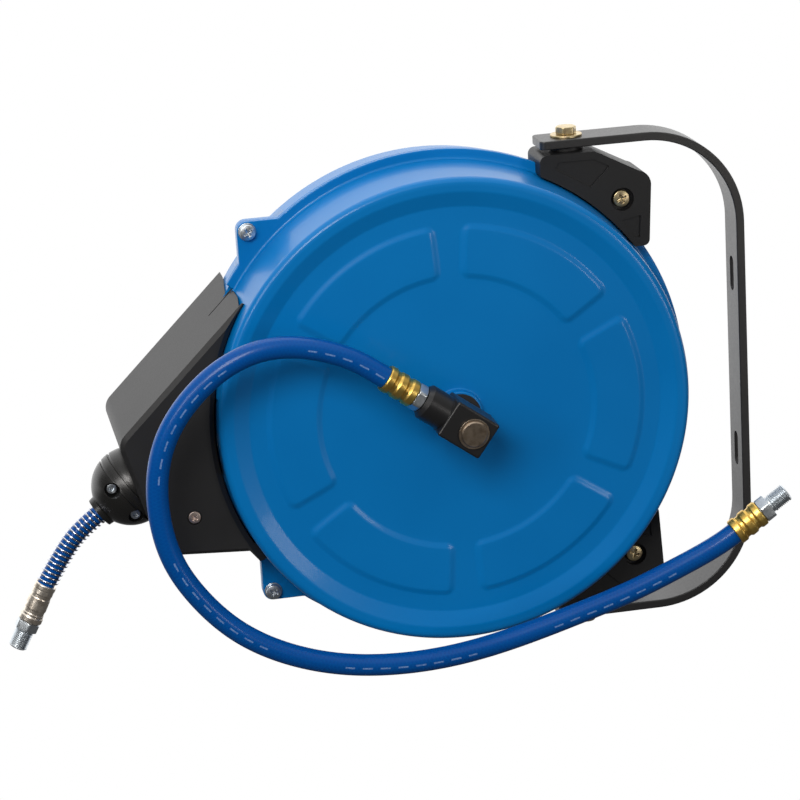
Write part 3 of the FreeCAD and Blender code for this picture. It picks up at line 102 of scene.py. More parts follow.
class Tree:
    """Short calls for building a node tree; each returns an output socket unless it says otherwise."""

    def __init__(self, tree):
        self.tree = tree
        self.tex_coord = None

    def node(self, kind, **settings):
        """Adds a node and returns the node itself."""
        node = self.tree.nodes.new("ShaderNode" + kind)
        for key, value in settings.items():
            setattr(node, key, value)
        return node

    def put(self, socket, value):
        """Links a socket or sets a value; a three-part colour gets alpha 1."""
        if isinstance(value, bpy.types.NodeSocket):
            self.tree.links.new(value, socket)
        elif socket.type == "RGBA" and len(value) == 3:
            socket.default_value = (*value, 1)
        else:
            socket.default_value = value

    def coords(self, which="Object"):
        if self.tex_coord is None:
            self.tex_coord = self.node("TexCoord")
        return self.tex_coord.outputs[which]

    def scaled(self, vector, scale):
        node = self.node("Mapping")
        self.put(node.inputs["Vector"], vector)
        node.inputs["Scale"].default_value = scale
        return node.outputs[0]

    def separate(self, vector):
        """The x, y and z outputs."""
        node = self.node("SeparateXYZ")
        self.put(node.inputs[0], vector)
        return node.outputs

    def noise(self, scale, detail=3.0, rough=0.5, vector=None):
        node = self.node("TexNoise")
        self.put(node.inputs["Vector"], self.coords() if vector is None else vector)
        node.inputs["Scale"].default_value = scale
        node.inputs["Detail"].default_value = detail
        node.inputs["Roughness"].default_value = rough
        return node.outputs["Fac"]

    def voronoi(self, scale, output="Distance"):
        node = self.node("TexVoronoi")
        self.put(node.inputs["Vector"], self.coords())
        node.inputs["Scale"].default_value = scale
        return node.outputs[output]

    def remap(self, value, source=(0.3, 0.7), target=(0.0, 1.0), **settings):
        node = self.node("MapRange", **settings)
        self.put(node.inputs[0], value)
        for i, limit in enumerate((*source, *target)):
            node.inputs[i + 1].default_value = limit
        return node.outputs[0]

    def math(self, operation, first, second=None):
        node = self.node("Math", operation=operation)
        self.put(node.inputs[0], first)
        if second is not None:
            self.put(node.inputs[1], second)
        return node.outputs[0]

    def weighted_sum(self, first, first_weight, second, second_weight):
        return self.math("ADD", self.math("MULTIPLY", first, first_weight),
                         self.math("MULTIPLY", second, second_weight))

    def mix(self, factor, first, second):
        node = self.node("Mix", data_type="RGBA")
        self.put(node.inputs[0], factor)
        self.put(node.inputs[6], first)
        self.put(node.inputs[7], second)
        return node.outputs[2]

    def between(self, noise, first, second, source=(0.3, 0.7)):
        """Mottle between two sRGB colours."""
        return self.mix(self.remap(noise, source), srgb(*first), srgb(*second))

    def bump(self, height, strength, distance):
        node = self.node("Bump")
        node.inputs["Strength"].default_value = strength
        node.inputs["Distance"].default_value = distance
        self.put(node.inputs["Height"], height)
        return node.outputs[0]


class Material(Tree):
    """A Principled material, kept under its name in MATERIALS."""

    def __init__(self, name):
        material = bpy.data.materials.new(name)
        material.use_nodes = True
        super().__init__(material.node_tree)
        self.tree.nodes.clear()
        output = self.node("OutputMaterial")
        self.shader = self.node("BsdfPrincipled")
        self.put(output.inputs[0], self.shader.outputs[0])
        MATERIALS[name] = material

    def surface(self, **inputs):
        """Sets shader inputs; underscores stand for the spaces in their names."""
        for key, value in inputs.items():
            self.put(self.shader.inputs[key.replace("_", " ")], value)


def paint_material():
    """Blue paint with fine light specks and a slight orange peel."""
    m = Material("painted_blue")
    mottle = m.noise(scale=9.0, detail=2.0)
    colour = m.between(mottle, (0, 109, 178), (0, 114, 184), source=(0.35, 0.65))
    speck = m.noise(scale=2600.0, detail=1.0)
    speck = m.remap(speck, source=(0.62, 0.75), target=(0.0, 0.10))
    colour = m.mix(speck, colour, srgb(0, 142, 218))
    peel = m.noise(scale=420.0, detail=2.0, rough=0.45)
    fine = m.noise(scale=1500.0, detail=1.0)
    height = m.weighted_sum(peel, 0.8, fine, 0.2)
    m.surface(Base_Color=colour, Roughness=m.remap(mottle, target=(0.30, 0.36)),
              Normal=m.bump(height, strength=0.10, distance=0.00012),
              Coat_Weight=0.16, Coat_Roughness=0.09, Coat_IOR=1.5, Specular_IOR_Level=0.22)


def black_metal_material():
    m = Material("black_metal")
    peel = m.noise(scale=900.0, rough=0.6)
    mottle = m.noise(scale=25.0)
    m.surface(Base_Color=m.between(mottle, (30, 30, 31), (37, 36, 36)),
              Roughness=m.remap(peel, target=(0.34, 0.44)),
              Normal=m.bump(peel, strength=0.22, distance=0.00018), Specular_IOR_Level=0.7)


def plastic_material(name, dark, light, roughness, grain, strength):
    """Moulded plastic with a pebbled grain."""
    m = Material(name)
    cells = m.voronoi(scale=grain)
    rough_noise = m.noise(scale=grain * 0.6, rough=0.6)
    height = m.weighted_sum(cells, 0.6, rough_noise, 0.6)
    mottle = m.noise(scale=18.0, detail=2.0)
    m.surface(Base_Color=m.between(mottle, dark, light),
              Roughness=m.remap(rough_noise, target=roughness),
              Normal=m.bump(height, strength=strength, distance=0.00008))


BRAID_TURNS = 8.0
BRAID_STEP = 0.0028  # metres along the hose between strands of one hand
BRAID_PITCH = BRAID_STEP * BRAID_TURNS
DASH_STEP = 0.0125  # metres from dash to dash
DASH_GROUP_STEP = 0.150  # metres from one group of dashes to the next
DASH_GROUP_SHIFT = 0.012


def hose_material(name, braid_tint, marked):
    """Glossy skin over a faint braid. UV: x along the hose in metres, y once round it.

    The marked hose has a worn broken line along the side at v = 0.5."""
    m = Material(name)
    uv = m.coords("UV")
    along, around = m.separate(uv)[:2]
    strands = []
    for hand in ("ADD", "SUBTRACT"):
        phase = m.math(hand, m.math("DIVIDE", along, BRAID_PITCH), around)
        strands.append(m.math("SINE", m.math("MULTIPLY", phase, TAU * BRAID_TURNS)))
    braid = m.math("MAXIMUM", *strands)
    mottle = m.noise(scale=14.0, detail=2.0)
    colour = m.between(mottle, (0, 68, 140), (0, 74, 148))
    tint = m.remap(braid, source=(0.2, 1.0), target=(0.0, braid_tint))
    colour = m.mix(tint, colour, srgb(2, 92, 170))
    if marked:
        dash = m.math("LESS_THAN", m.math("FRACT", m.math("DIVIDE", along, DASH_STEP)), 0.56)
        shifted = m.math("ADD", along, DASH_GROUP_SHIFT)
        group = m.math("FRACT", m.math("DIVIDE", shifted, DASH_GROUP_STEP))
        group = m.math("LESS_THAN", group, 0.62)
        off_line = m.math("ABSOLUTE", m.math("SUBTRACT", around, 0.5))
        stripe = m.math("LESS_THAN", off_line, 0.012)
        mark = m.math("MULTIPLY", m.math("MULTIPLY", dash, group), stripe)
        wear = m.noise(scale=900.0, detail=2.0)
        wear = m.remap(wear, source=(0.35, 0.55), target=(0.35, 0.75))
        colour = m.mix(m.math("MULTIPLY", mark, wear), colour, srgb(120, 150, 196))
    lines = m.noise(scale=1.0, detail=2.0, vector=m.scaled(uv, (3.0, 60.0, 1.0)))
    height = m.math("ADD", m.math("MULTIPLY", braid, 0.35), lines)
    m.surface(Base_Color=colour, Roughness=m.remap(mottle, target=(0.26, 0.32)),
              Normal=m.bump(height, strength=0.18, distance=0.00010),
              Subsurface_Weight=0.06, Subsurface_Radius=(0.001, 0.003, 0.008),
              Subsurface_Scale=0.6, Coat_Weight=0.10, Coat_Roughness=0.07,
              Specular_IOR_Level=0.16)


def metal_material(name, dark, light, roughness, grain, strength, tint=None):
    """Bare or plated metal with fine scratches and, with a tint, a patchy stain."""
    m = Material(name)
    colour = m.between(m.noise(scale=60.0), dark, light)
    if tint:
        stain = m.noise(scale=220.0, rough=0.6)
        stain = m.remap(stain, source=(0.45, 0.7), target=(0.0, 0.55))
        colour = m.mix(stain, colour, srgb(*tint))
    fine = m.noise(scale=grain, detail=4.0, rough=0.6)
    scratch = m.noise(scale=1.0, vector=m.scaled(m.coords(), (260.0, 260.0, 2600.0)))
    height = m.weighted_sum(fine, 0.6, scratch, 0.5)
    m.surface(Base_Color=colour, Metallic=1.0, Roughness=m.remap(fine, target=roughness),
              Normal=m.bump(height, strength=strength, distance=0.00006))


def galvanised_material():
    """Zinc spangle: each cell has its own grey and roughness."""
    m = Material("galvanised")
    cells = m.voronoi(scale=110.0, output="Color")
    grey = m.node("RGBToBW")
    m.put(grey.inputs[0], cells)
    grey = grey.outputs[0]
    m.surface(Base_Color=m.mix(grey, srgb(150, 155, 160), srgb(186, 190, 194)), Metallic=1.0,
              Roughness=m.remap(grey, source=(0.0, 1.0), target=(0.28, 0.45)),
              Normal=m.bump(m.noise(scale=600.0), strength=0.1, distance=0.00008))


def bush_material():
    """Cream plastic."""
    m = Material("bush_plastic")
    mottle = m.noise(scale=60.0)
    m.surface(Base_Color=m.between(mottle, (206, 200, 182), (216, 210, 194)),
              Roughness=m.remap(m.noise(scale=900.0), target=(0.38, 0.5)),
              Normal=m.bump(m.noise(scale=1500.0), strength=0.2, distance=0.00005),
              Subsurface_Weight=0.1, Subsurface_Radius=(0.002, 0.002, 0.001),
              Subsurface_Scale=0.5)


def seal_material():
    """Dark rubber."""
    m = Material("seal")
    mottle = m.noise(scale=300.0)
    m.surface(Base_Color=m.mix(mottle, srgb(24, 24, 24), srgb(34, 33, 32)),
              Roughness=m.remap(mottle, target=(0.5, 0.65)),
              Normal=m.bump(m.noise(scale=2500.0), strength=0.3, distance=0.00004))


# name, dark sRGB, light sRGB, roughness range, grain scale, bump strength
PLASTICS = [
    ("black_plastic", (24, 24, 25), (31, 31, 32), (0.46, 0.56), 2300.0, 0.35),
    ("black_satin", (22, 22, 23), (29, 29, 30), (0.30, 0.40), 3200.0, 0.18),
    ("block_plastic", (13, 13, 14), (18, 18, 19), (0.44, 0.54), 2300.0, 0.35),
    ("ball_plastic", (22, 22, 21), (28, 27, 26), (0.26, 0.34), 2300.0, 0.22),
]
# the same columns, then the stain's sRGB
METALS = [
    ("brass", (226, 188, 96), (236, 202, 112), (0.30, 0.42), 500.0, 0.10, (196, 142, 52)),
    ("zinc_yellow", (198, 180, 136), (208, 192, 152), (0.30, 0.42), 500.0, 0.12, (176, 150, 128)),
    ("zinc", (196, 203, 209), (210, 216, 220), (0.30, 0.42), 500.0, 0.12),
    ("nickel", (158, 142, 124), (174, 158, 140), (0.28, 0.40), 500.0, 0.12, (122, 104, 84)),
    ("spring_steel", (196, 199, 208), (210, 212, 220), (0.10, 0.18), 300.0, 0.05),
    ("nickel_bright", (236, 224, 208), (244, 236, 224), (0.28, 0.38), 500.0, 0.12,
     (188, 172, 152)),
    ("copper_screw", (222, 202, 190), (232, 214, 204), (0.3, 0.42), 500.0, 0.12),
]

paint_material()
black_metal_material()
for row in PLASTICS:
    plastic_material(*row)
hose_material("hose_blue", braid_tint=0.22, marked=False)
hose_material("hose_blue_marked", braid_tint=0.20, marked=True)
for row in METALS:
    metal_material(*row)
galvanised_material()
bush_material()
seal_material()


# ------------------------------------------------------------------ objects
def joined(shells):
    """One vertex array and face list from several (vertices, faces) shells."""
    verts, faces, start = [], [], 0
    for shell_verts, shell_faces in shells:
        verts.append(shell_verts)
        faces += [[i + start for i in face] for face in shell_faces]
        start += len(shell_verts)
    return np.concatenate(verts), faces


def link(name, data):
    ob = bpy.data.objects.new(name, data)
    SCENE.collection.objects.link(ob)
    return ob


def mesh_from_mm(name, verts, faces):
    mesh = bpy.data.meshes.new(name)
    faces = [tuple(int(i) for i in face) for face in faces]
    mesh.from_pydata((verts * MM).tolist(), [], faces)
    return mesh


def smooth(mesh):
    mesh.polygons.foreach_set("use_smooth", [True] * len(mesh.polygons))


def weight_normals(ob):
    modifier = ob.modifiers.new("weighted", "WEIGHTED_NORMAL")
    modifier.mode = "FACE_AREA"
    modifier.weight = 70
    modifier.keep_sharp = True


def add_part(name, shells, body, material, replaces, uv=None, weighted=True):
    """Object from shells in millimetres, in the given material."""
    mesh = mesh_from_mm(name, *joined(shells))
    mesh.materials.append(MATERIALS[material])
    if uv is not None:
        layer = mesh.uv_layers.new(name="UVMap")
        layer.data.foreach_set("uv", np.asarray(uv, np.float32).ravel())
    smooth(mesh)
    mesh.update()
    ob = link(name, mesh)
    if weighted:
        weight_normals(ob)
    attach(ob, body)
    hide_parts(replaces)
    return ob


def apply_boolean(ob, shells, operation, name):
    """Joins the shells to the object's mesh or cuts them from it, with its modifiers applied."""
    cutter = link(name, mesh_from_mm(name, *joined(shells)))
    modifier = ob.modifiers.new(name, "BOOLEAN")
    modifier.operation = operation
    modifier.object = cutter
    modifier.solver = "EXACT"
    depsgraph = bpy.context.evaluated_depsgraph_get()
    new = bpy.data.meshes.new_from_object(ob.evaluated_get(depsgraph), depsgraph=depsgraph)
    ob.modifiers.remove(modifier)
    old = ob.data
    new.name = old.name
    ob.data = new
    bpy.data.objects.remove(cutter)
    bpy.data.meshes.remove(old)
    smooth(new)


# ------------------------------------------------------------------ outlines and shells
# A shell is (vertices, faces). A place is (origin, axis, reference direction for angle 0).
# A turned profile is a list of (distance along the axis, radius).
def unit(vector):
    vector = np.array(vector, float)
    return vector / np.linalg.norm(vector)


def at_drum(x, z, axis):
    """Place measured from the drum axis at y = 0, with angle 0 along +X."""
    return (DRUM_X + x, 0, z), axis, X_AXIS


def placed(place):
    """Origin, axis and the two directions across it."""
    origin, axis, ref = (np.array(part, float) for part in place)
    axis /= np.linalg.norm(axis)
    side = unit(ref - axis * (ref @ axis))
    return origin, axis, side, np.cross(axis, side)


def circle_angles(n):
    return np.arange(n) * TAU / n


def ring(basis, along, radius, theta):
    """Points round the axis; along and radius may vary with the angle."""
    origin, axis, side, across = basis
    return (origin + np.outer(np.broadcast_to(along, theta.shape), axis)
            + np.outer(radius * np.cos(theta), side) + np.outer(radius * np.sin(theta), across))


def fillet(points, radii, steps, closed=True):
    """Rounds the corners of a 2D outline; one radius per point, 0 keeps the corner."""
    points = [np.array(p, float) for p in points]
    out = []
    n = len(points)
    for i, (point, radius) in enumerate(zip(points, radii)):
        if (not closed and i in (0, n - 1)) or radius <= 0:
            out.append(point)
            continue
        back, ahead = points[i - 1] - point, points[(i + 1) % n] - point
        back_length, ahead_length = np.linalg.norm(back), np.linalg.norm(ahead)
        back, ahead = back / back_length, ahead / ahead_length
        angle = math.acos(np.clip(back @ ahead, -1, 1))
        if angle > math.pi - 1e-3 or angle < 1e-3:
            out.append(point)
            continue
        reach = radius / math.tan(angle / 2)
        limit = 0.499 * min(back_length, ahead_length)
        if reach > limit:
            reach = limit
            radius = reach * math.tan(angle / 2)
        start, end = point + back * reach, point + ahead * reach
        bisector = (back + ahead) / np.linalg.norm(back + ahead)
        centre = point + bisector * (radius / math.sin(angle / 2))
        first = math.atan2(*(start - centre)[::-1])
        last = math.atan2(*(end - centre)[::-1])
        sweep = (last - first + math.pi) % TAU - math.pi
        for j in range(steps + 1):
            t = first + sweep * j / steps
            out.append(centre + radius * np.array([math.cos(t), math.sin(t)]))
    return [tuple(p) for p in out]


def ring_grid(rows, columns, closed):
    """Quads between rings of points; closed joins the last ring to the first."""
    faces = []
    for i in range(rows if closed else rows - 1):
        here, there = i * columns, (i + 1) % rows * columns
        for j in range(columns):
            k = (j + 1) % columns
            faces.append((here + j, here + k, there + k, there + j))
    return faces


def oriented(verts, faces):
    """The shell with its faces turned so that the normals point out."""
    verts = np.asarray(verts, float)
    local = verts - verts.mean(0)
    volume = 0.0
    for face in faces:
        for k in range(1, len(face) - 1):
            volume += np.dot(local[face[0]], np.cross(local[face[k]], local[face[k + 1]]))
    if volume < 0:
        faces = [tuple(reversed(face)) for face in faces]
    return verts, faces


def ring_shell(rings, first=None, last=None):
    """Shell through rings: a closed loop of them, or capped by fans about two centres."""
    n = len(rings[0])
    verts = np.concatenate(rings)
    faces = ring_grid(len(rings), n, closed=first is None)
    if first is not None:
        centre = len(verts)
        verts = np.concatenate([verts, [first], [last]])
        for j in range(n):
            k = (j + 1) % n
            faces.append((centre, k, j))
            faces.append((centre + 1, centre - n + j, centre - n + k))
    return oriented(verts, faces)


def lathe(profile, place, n=64, radius=None, closed=True):
    """Revolves a profile: a closed loop, or one that starts and ends on the axis.

    radius(i, along, r, angle) may change a ring's radius."""
    basis = placed(place)
    theta = circle_angles(n)
    rings = []
    for i, (along, r) in enumerate(profile if closed else profile[1:-1]):
        if radius:
            r = np.array([radius(i, along, r, t) for t in theta])
        rings.append(ring(basis, along, r, theta))
    if closed:
        return ring_shell(rings)
    origin, axis = basis[:2]
    return ring_shell(rings, origin + axis * profile[0][0], origin + axis * profile[-1][0])


def plug(start, end, radius, place, n):
    """Plain solid cylinder."""
    return lathe([(start, 0), (start, radius), (end, radius), (end, 0)], place, n, closed=False)


def washer(start, end, bore, radius, rims, place, n):
    """Flat ring; rims are the fillets of bore and edge at the start, then edge and bore."""
    outline = [(start, bore), (start, radius), (end, radius), (end, bore)]
    return lathe(fillet(outline, rims, 3), place, n)


def hex_radius(flats, theta, soft=0.0):
    """Radius of a hexagon, given across flats, its corners cut by soft."""
    radius = flats / 2 / math.cos((theta % (TAU / 6)) - TAU / 12)
    if soft:
        radius = min(radius, flats / 2 / math.cos(TAU / 12) - soft)
    return radius


def hex_prism(start, end, flats, bore, place, turn=0.0, chamfer_start=True, n=72):
    """Hexagon with its corners turned off at 30 degrees and a bore of that radius (0: none)."""
    basis = placed(place)
    theta = circle_angles(n)
    outer = np.array([hex_radius(flats, t - turn, soft=flats * 0.012) for t in theta])
    face = flats / 2 * 0.96
    drop = (outer - face) * math.tan(math.radians(30))
    middle = (outer + face) / 2
    bore_bevel, rim_bevel = 0.35, 0.25
    rows = []
    if bore:
        rows += [(start + bore_bevel, bore), (start, bore + bore_bevel)]
    if chamfer_start:
        rows += [(start, face), (start + drop * 0.5, middle), (start + drop, outer)]
    else:
        rows += [(start, outer - rim_bevel), (start + rim_bevel, outer)]
    rows += [(end - drop, outer), (end - drop * 0.5, middle), (end, face)]
    if bore:
        rows += [(end, bore + bore_bevel), (end - bore_bevel, bore)]
    rings = [ring(basis, along, radius, theta) for along, radius in rows]
    if bore:
        return ring_shell(rings)
    origin, axis = basis[:2]
    return ring_shell(rings, origin + axis * start, origin + axis * end)


def screw(top, height, radius, shank, shank_end, place, recess="cross", arm=0.55, depth=0.55,
          dome=0.25, turn=0.6):
    """Domed screw head with a cross or hex recess, its axis pointing out of the head.

    arm is a share of the head's radius; depth and dome are shares of its height."""
    basis = placed(place)
    theta = circle_angles(96)
    arm_length, arm_half = arm * radius, 0.12 * radius
    cos_turn, sin_turn = math.cos(turn), math.sin(turn)

    def surface(r):
        return top - dome * height * (r / radius) ** 2

    def recess_depth(x, y):
        x, y = x * cos_turn + y * sin_turn, -x * sin_turn + y * cos_turn
        r = math.hypot(x, y)
        if recess == "hex":
            inside = hex_radius(arm_length * 2 * 0.866, math.atan2(y, x)) - r
            taper = 1.0
        else:
            x, y = abs(x), abs(y)
            inside = max(min(arm_length - x, arm_half - y), min(arm_length - y, arm_half - x),
                         0.30 * radius - (x + y) * 0.92)
            taper = 1 - 0.45 * r / arm_length
        return np.clip(inside / (0.05 * radius) + 0.5, 0, 1) * depth * height * taper

    shares = [*np.linspace(0.0, 0.66, 24)[1:], 0.72, 0.78, 0.84, 0.89]
    rings = []
    for r in [share * radius for share in shares]:
        along = [surface(r) - recess_depth(r * math.cos(t), r * math.sin(t)) for t in theta]
        rings.append(ring(basis, np.array(along), r, theta))

    shoulder_start = 0.89 * radius
    shoulder_r = radius * 0.11
    shoulder_drop = min(height * 0.55, shoulder_r * 1.6)
    under = top - height
    profile = []
    for k in range(1, 6):
        t = math.pi / 2 * k / 5
        profile.append((surface(shoulder_start) - shoulder_drop * (1 - math.cos(t)),
                        shoulder_start + shoulder_r * math.sin(t)))
    profile += [(under + 0.15, radius), (under, radius - 0.15), (under, shank + 0.1),
                (under - 0.2, shank), (shank_end + 0.4, shank), (shank_end, shank - 0.4)]
    rings += [ring(basis, along, r, theta) for along, r in profile]
    origin, axis = basis[:2]
    return ring_shell(rings, origin + axis * (surface(0) - recess_depth(0, 0)),
                      origin + axis * shank_end)


def threaded(before, start, end, after, place):
    """Turned loop: profile before, a helical thread from start to end, profile after."""
    turns_by_ten = int((end - start) / THREAD_PITCH * 10)
    run = [(a, THREAD_R) for a in np.linspace(start, end, turns_by_ten + 1)]
    profile = [*before, (start, THREAD_R), *run, (end, THREAD_R), *after]
    first = len(before) + 1
    fade_length = 0.7 * THREAD_PITCH

    def radius(i, along, r, angle):
        if not first <= i < first + len(run):
            return r
        fade = max(0.0, min(1.0, (along - start) / fade_length, (end - along) / fade_length))
        phase = (along / THREAD_PITCH - angle / TAU) % 1.0
        root = min(max((abs(2 * phase - 1) - 0.12) / 0.76, 0), 1)  # 1 at the root
        return r - THREAD_DEPTH * root * fade

    return lathe(profile, place, radius=radius)


def run_lengths(path):
    """Length along the path at each of its points."""
    return np.concatenate([[0], np.cumsum(np.linalg.norm(np.diff(path, axis=0), axis=1))])


def sample(values, at, lengths):
    """Interpolates each of three columns."""
    return np.stack([np.interp(at, lengths, values[:, i]) for i in range(3)], -1)


def resample(path, step):
    lengths = run_lengths(path)
    count = max(2, int(round(lengths[-1] / step)))
    return sample(path, np.linspace(0, lengths[-1], count + 1), lengths)


def spline(points, start_direction, end_direction, step):
    """Clamped cubic through the points, by chord length, sampled about every step."""
    points = np.asarray(points, float)
    chords = np.linalg.norm(np.diff(points, axis=0), axis=1)
    n = len(points)
    matrix = np.zeros((n, n))
    right_side = np.zeros((n, 3))
    matrix[0, 0] = matrix[-1, -1] = 1
    right_side[0] = start_direction
    right_side[-1] = end_direction
    for i in range(1, n - 1):
        before, after = chords[i - 1], chords[i]
        matrix[i, i - 1:i + 2] = after, 2 * (before + after), before
        right_side[i] = 3 * (before * (points[i + 1] - points[i]) / after
                             + after * (points[i] - points[i - 1]) / before)
    slopes = np.linalg.solve(matrix, right_side)
    out = []
    for i, chord in enumerate(chords):
        count = max(2, int(math.ceil(chord / step * 4)))
        for j in range(count):
            s = j / count
            out.append(points[i] * (1 + 2 * s) * (1 - s) ** 2
                       + slopes[i] * chord * s * (1 - s) ** 2
                       + points[i + 1] * s * s * (3 - 2 * s)
                       + slopes[i + 1] * chord * s * s * (s - 1))
    out.append(points[-1])
    return resample(np.array(out), step)


def tangents(path):
    along = np.gradient(path, axis=0)
    return along / np.linalg.norm(along, axis=1)[:, None]


def path_normals(path, facing):
    """Tangents, and the directions across them nearest to facing."""
    along = tangents(path)
    facing = np.array(facing, float)
    normals = facing - along * (along @ facing)[:, None]
    return along, normals / np.linalg.norm(normals, axis=1)[:, None]


def hose_tube(path, outer, bore, n):
    """Tube with open bore. UV: u metres along, v once round it, 0.5 facing the front."""
    along, normals = path_normals(path, FRONT)
    across = np.cross(along, normals)
    u = run_lengths(path) * MM
    theta = (np.arange(n) / n - 0.5) * TAU
    count = len(path)
    verts = np.concatenate([
        path[i] + np.outer(np.cos(theta), normals[i]) * radius
        + np.outer(np.sin(theta), across[i]) * radius
        for radius in (outer, bore) for i in range(count)])
    inner = count * n  # index of the bore's first vertex
    faces, uv = [], []
    for i in range(count - 1):
        for j in range(n):
            a, b = i * n + j, i * n + (j + 1) % n
            faces.append((b, b + n, a + n, a))
            v0, v1 = j / n, (j + 1) / n
            uv += [(u[i], v1), (u[i + 1], v1), (u[i + 1], v0), (u[i], v0)]
    for i in range(count - 1):
        for j in range(n):
            a, b = inner + i * n + j, inner + i * n + (j + 1) % n
            faces.append((a + n, b + n, b, a))
            uv += [(u[i], 0.1)] * 4
    for i in (0, count - 1):
        for j in range(n):
            a, b = i * n + j, i * n + (j + 1) % n
            c, d = inner + b, inner + a
            faces.append((b, c, d, a) if i else (d, c, b, a))
            uv += [(u[i], 0.1)] * 4
    return verts, faces, uv


def wire_tube(path, radius, n):
    """Round wire whose cross frame is carried along the path."""
    along = tangents(path)
    normal = unit(np.cross(along[0], [0, 0, 1.0]))
    theta = circle_angles(n)
    rings = []
    for point, tangent in zip(path, along):
        normal = unit(normal - tangent * (normal @ tangent))
        across = np.cross(tangent, normal)
        rings.append(point + radius * (np.outer(np.cos(theta), normal)
                                       + np.outer(np.sin(theta), across)))
    return ring_shell(rings, path[0], path[-1])


def prism(outline, y0, y1, bevel, steps):
    """Extrudes a convex outline of (x, z) from the drum axis along Y, with rounded rims."""
    points = np.array(outline, float)
    n = len(points)
    x, z = points.T
    if np.sum(x * np.roll(z, -1) - np.roll(x, -1) * z) < 0:
        points = points[::-1]
    edges = np.roll(points, -1, 0) - points
    edges /= np.linalg.norm(edges, axis=1)[:, None] + 1e-12
    normals = np.stack([edges[:, 1], -edges[:, 0]], 1)
    normals = normals + np.roll(normals, 1, 0)
    normals /= np.linalg.norm(normals, axis=1)[:, None] + 1e-12
    rows = []  # y, inset
    for k in range(steps + 1):
        t = math.pi / 2 * k / steps
        rows.append((y0 + bevel * (1 - math.cos(t)), bevel * (1 - math.sin(t))))
    rows += [(y1 - (y - y0), inset) for y, inset in rows[::-1]]
    rings = []
    for y, inset in rows:
        moved = points - normals * inset
        rings.append(np.stack([moved[:, 0] + DRUM_X, np.full(n, y), moved[:, 1]], 1))
    faces = ring_grid(len(rows), n, closed=False)
    faces.append(tuple(range(n))[::-1])
    last = (len(rows) - 1) * n
    faces.append(tuple(range(last, last + n)))
    return oriented(np.concatenate(rings), faces)


# ------------------------------------------------------------------ covers
# Closed section of each cover as (radius, y). The rim's radii are relative to the flange edge.
# Each outer and inner run has a fillet radius per point.
FRONT_OUTER = [(13.0, -46.9), (13.0, -56.0), (16.5, -56.0), (16.5, -49.5), (144.5, -49.5),
               (155.3, -53.0), (164.7, -53.0), (168.0, -3.0), (172.0, -3.0)]
FRONT_OUTER_FILLETS = [0, 0.35, 1.3, 1.3, 5.0, 7.0, 9.2, 2.2, 0]
FRONT_RIM = [(-0.8, -3.0), (-0.25, -2.8), (0.0, -2.3), (0.0, -0.5), (-0.3, 0.0)]
FRONT_INNER = [(165.4, 0.0), (162.2, -50.4), (155.0, -50.4), (145.0, -46.9), (13.0, -46.9)]
FRONT_INNER_FILLETS = [0, 6.6, 5.0, 5.0, 0]

REAR_OUTER = [(12.1, 40.9), (12.1, 43.5), (147.0, 43.5), (151.8, 46.0), (169.4, 46.0),
              (170.6, 3.0), (173.0, 3.0)]
REAR_OUTER_FILLETS = [0, 0.3, 4.0, 4.0, 11.5, 1.2, 0]
REAR_RIM = [(-0.8, 3.0), (-0.25, 2.8), (0.0, 2.3), (0.0, 0.5), (-0.3, 0.0)]
REAR_INNER = [(168.0, 0.0), (166.8, 43.4), (152.0, 43.4), (147.5, 40.9), (12.1, 40.9)]
REAR_INNER_FILLETS = [0, 9.0, 4.0, 4.0, 0]

# Extra stations on long runs: radius from, to, step
OUTER_ZONES = [(20, 90, 14), (90, 138, 6), (93.9, 98.9, 0.5), (128.5, 133.6, 0.5), (150, 176, 3)]
INNER_ZONES = [(20, 140, 15)]

# Six pressed sector pads
PAD_HEIGHT = 1.4
PAD_SLOPE_HALF = 3.0
PAD_CORNER = 5.5
PAD_INNER_R, PAD_OUTER_R = 96.3, 131.0
PAD_HALF_GAPS = (8.4, 10.9)  # to the spoke's middle, at the inner and outer radius

LUG_HOLE_R = 3.2
LUG_BACK_R = 168.7  # inner arc of the thick lugs on the rear cover
TRIM_ANGLE = math.radians(136.56)
# Corners of the cut in the flange: (out from the drum axis, across), turned by TRIM_ANGLE
TRIM_CORNERS = [(165.3, 32.2), (165.3, 60.0), (182.0, 60.0), (182.0, 32.2)]


def flange_radius(t):
    """Round flange with the corners of a rounded square standing out as lugs."""
    c, s = abs(math.cos(t)), abs(math.sin(t))
    if c < s:
        c, s = s, c
    distance = LUG_EDGE / max(c, 1e-9)
    centre = LUG_EDGE - LUG_CORNER_R
    if distance * s > centre:
        b = centre * (c + s)
        q = b * b - (2 * centre * centre - LUG_CORNER_R * LUG_CORNER_R)
        distance = b + math.sqrt(max(q, 0.0))
    return max(FLANGE_R, distance)


def cover_angles():
    """Even steps, finer at the pads' straight edges and at the lugs."""
    degrees = set(np.round(np.arange(0, 360, 1.5), 4))
    for k in range(6):
        for side in (-4.86, 4.86):
            for d in np.arange(-3.0, 3.01, 0.3):
                degrees.add(round((30 + 60 * k + side + d) % 360, 4))
    for k in range(4):
        for d in np.arange(-8.8, 8.81, 0.4):
            degrees.add(round(45 + 90 * k + d, 4))
        for d in (-7.66, -7.6, -7.56, -7.5, 7.5, 7.56, 7.6, 7.66):
            degrees.add(round(45 + 90 * k + d, 4))
    degrees = sorted(degrees)
    out = [degrees[0]]
    for angle in degrees[1:]:
        if angle - out[-1] > 0.05:
            out.append(angle)
    return np.radians(out)


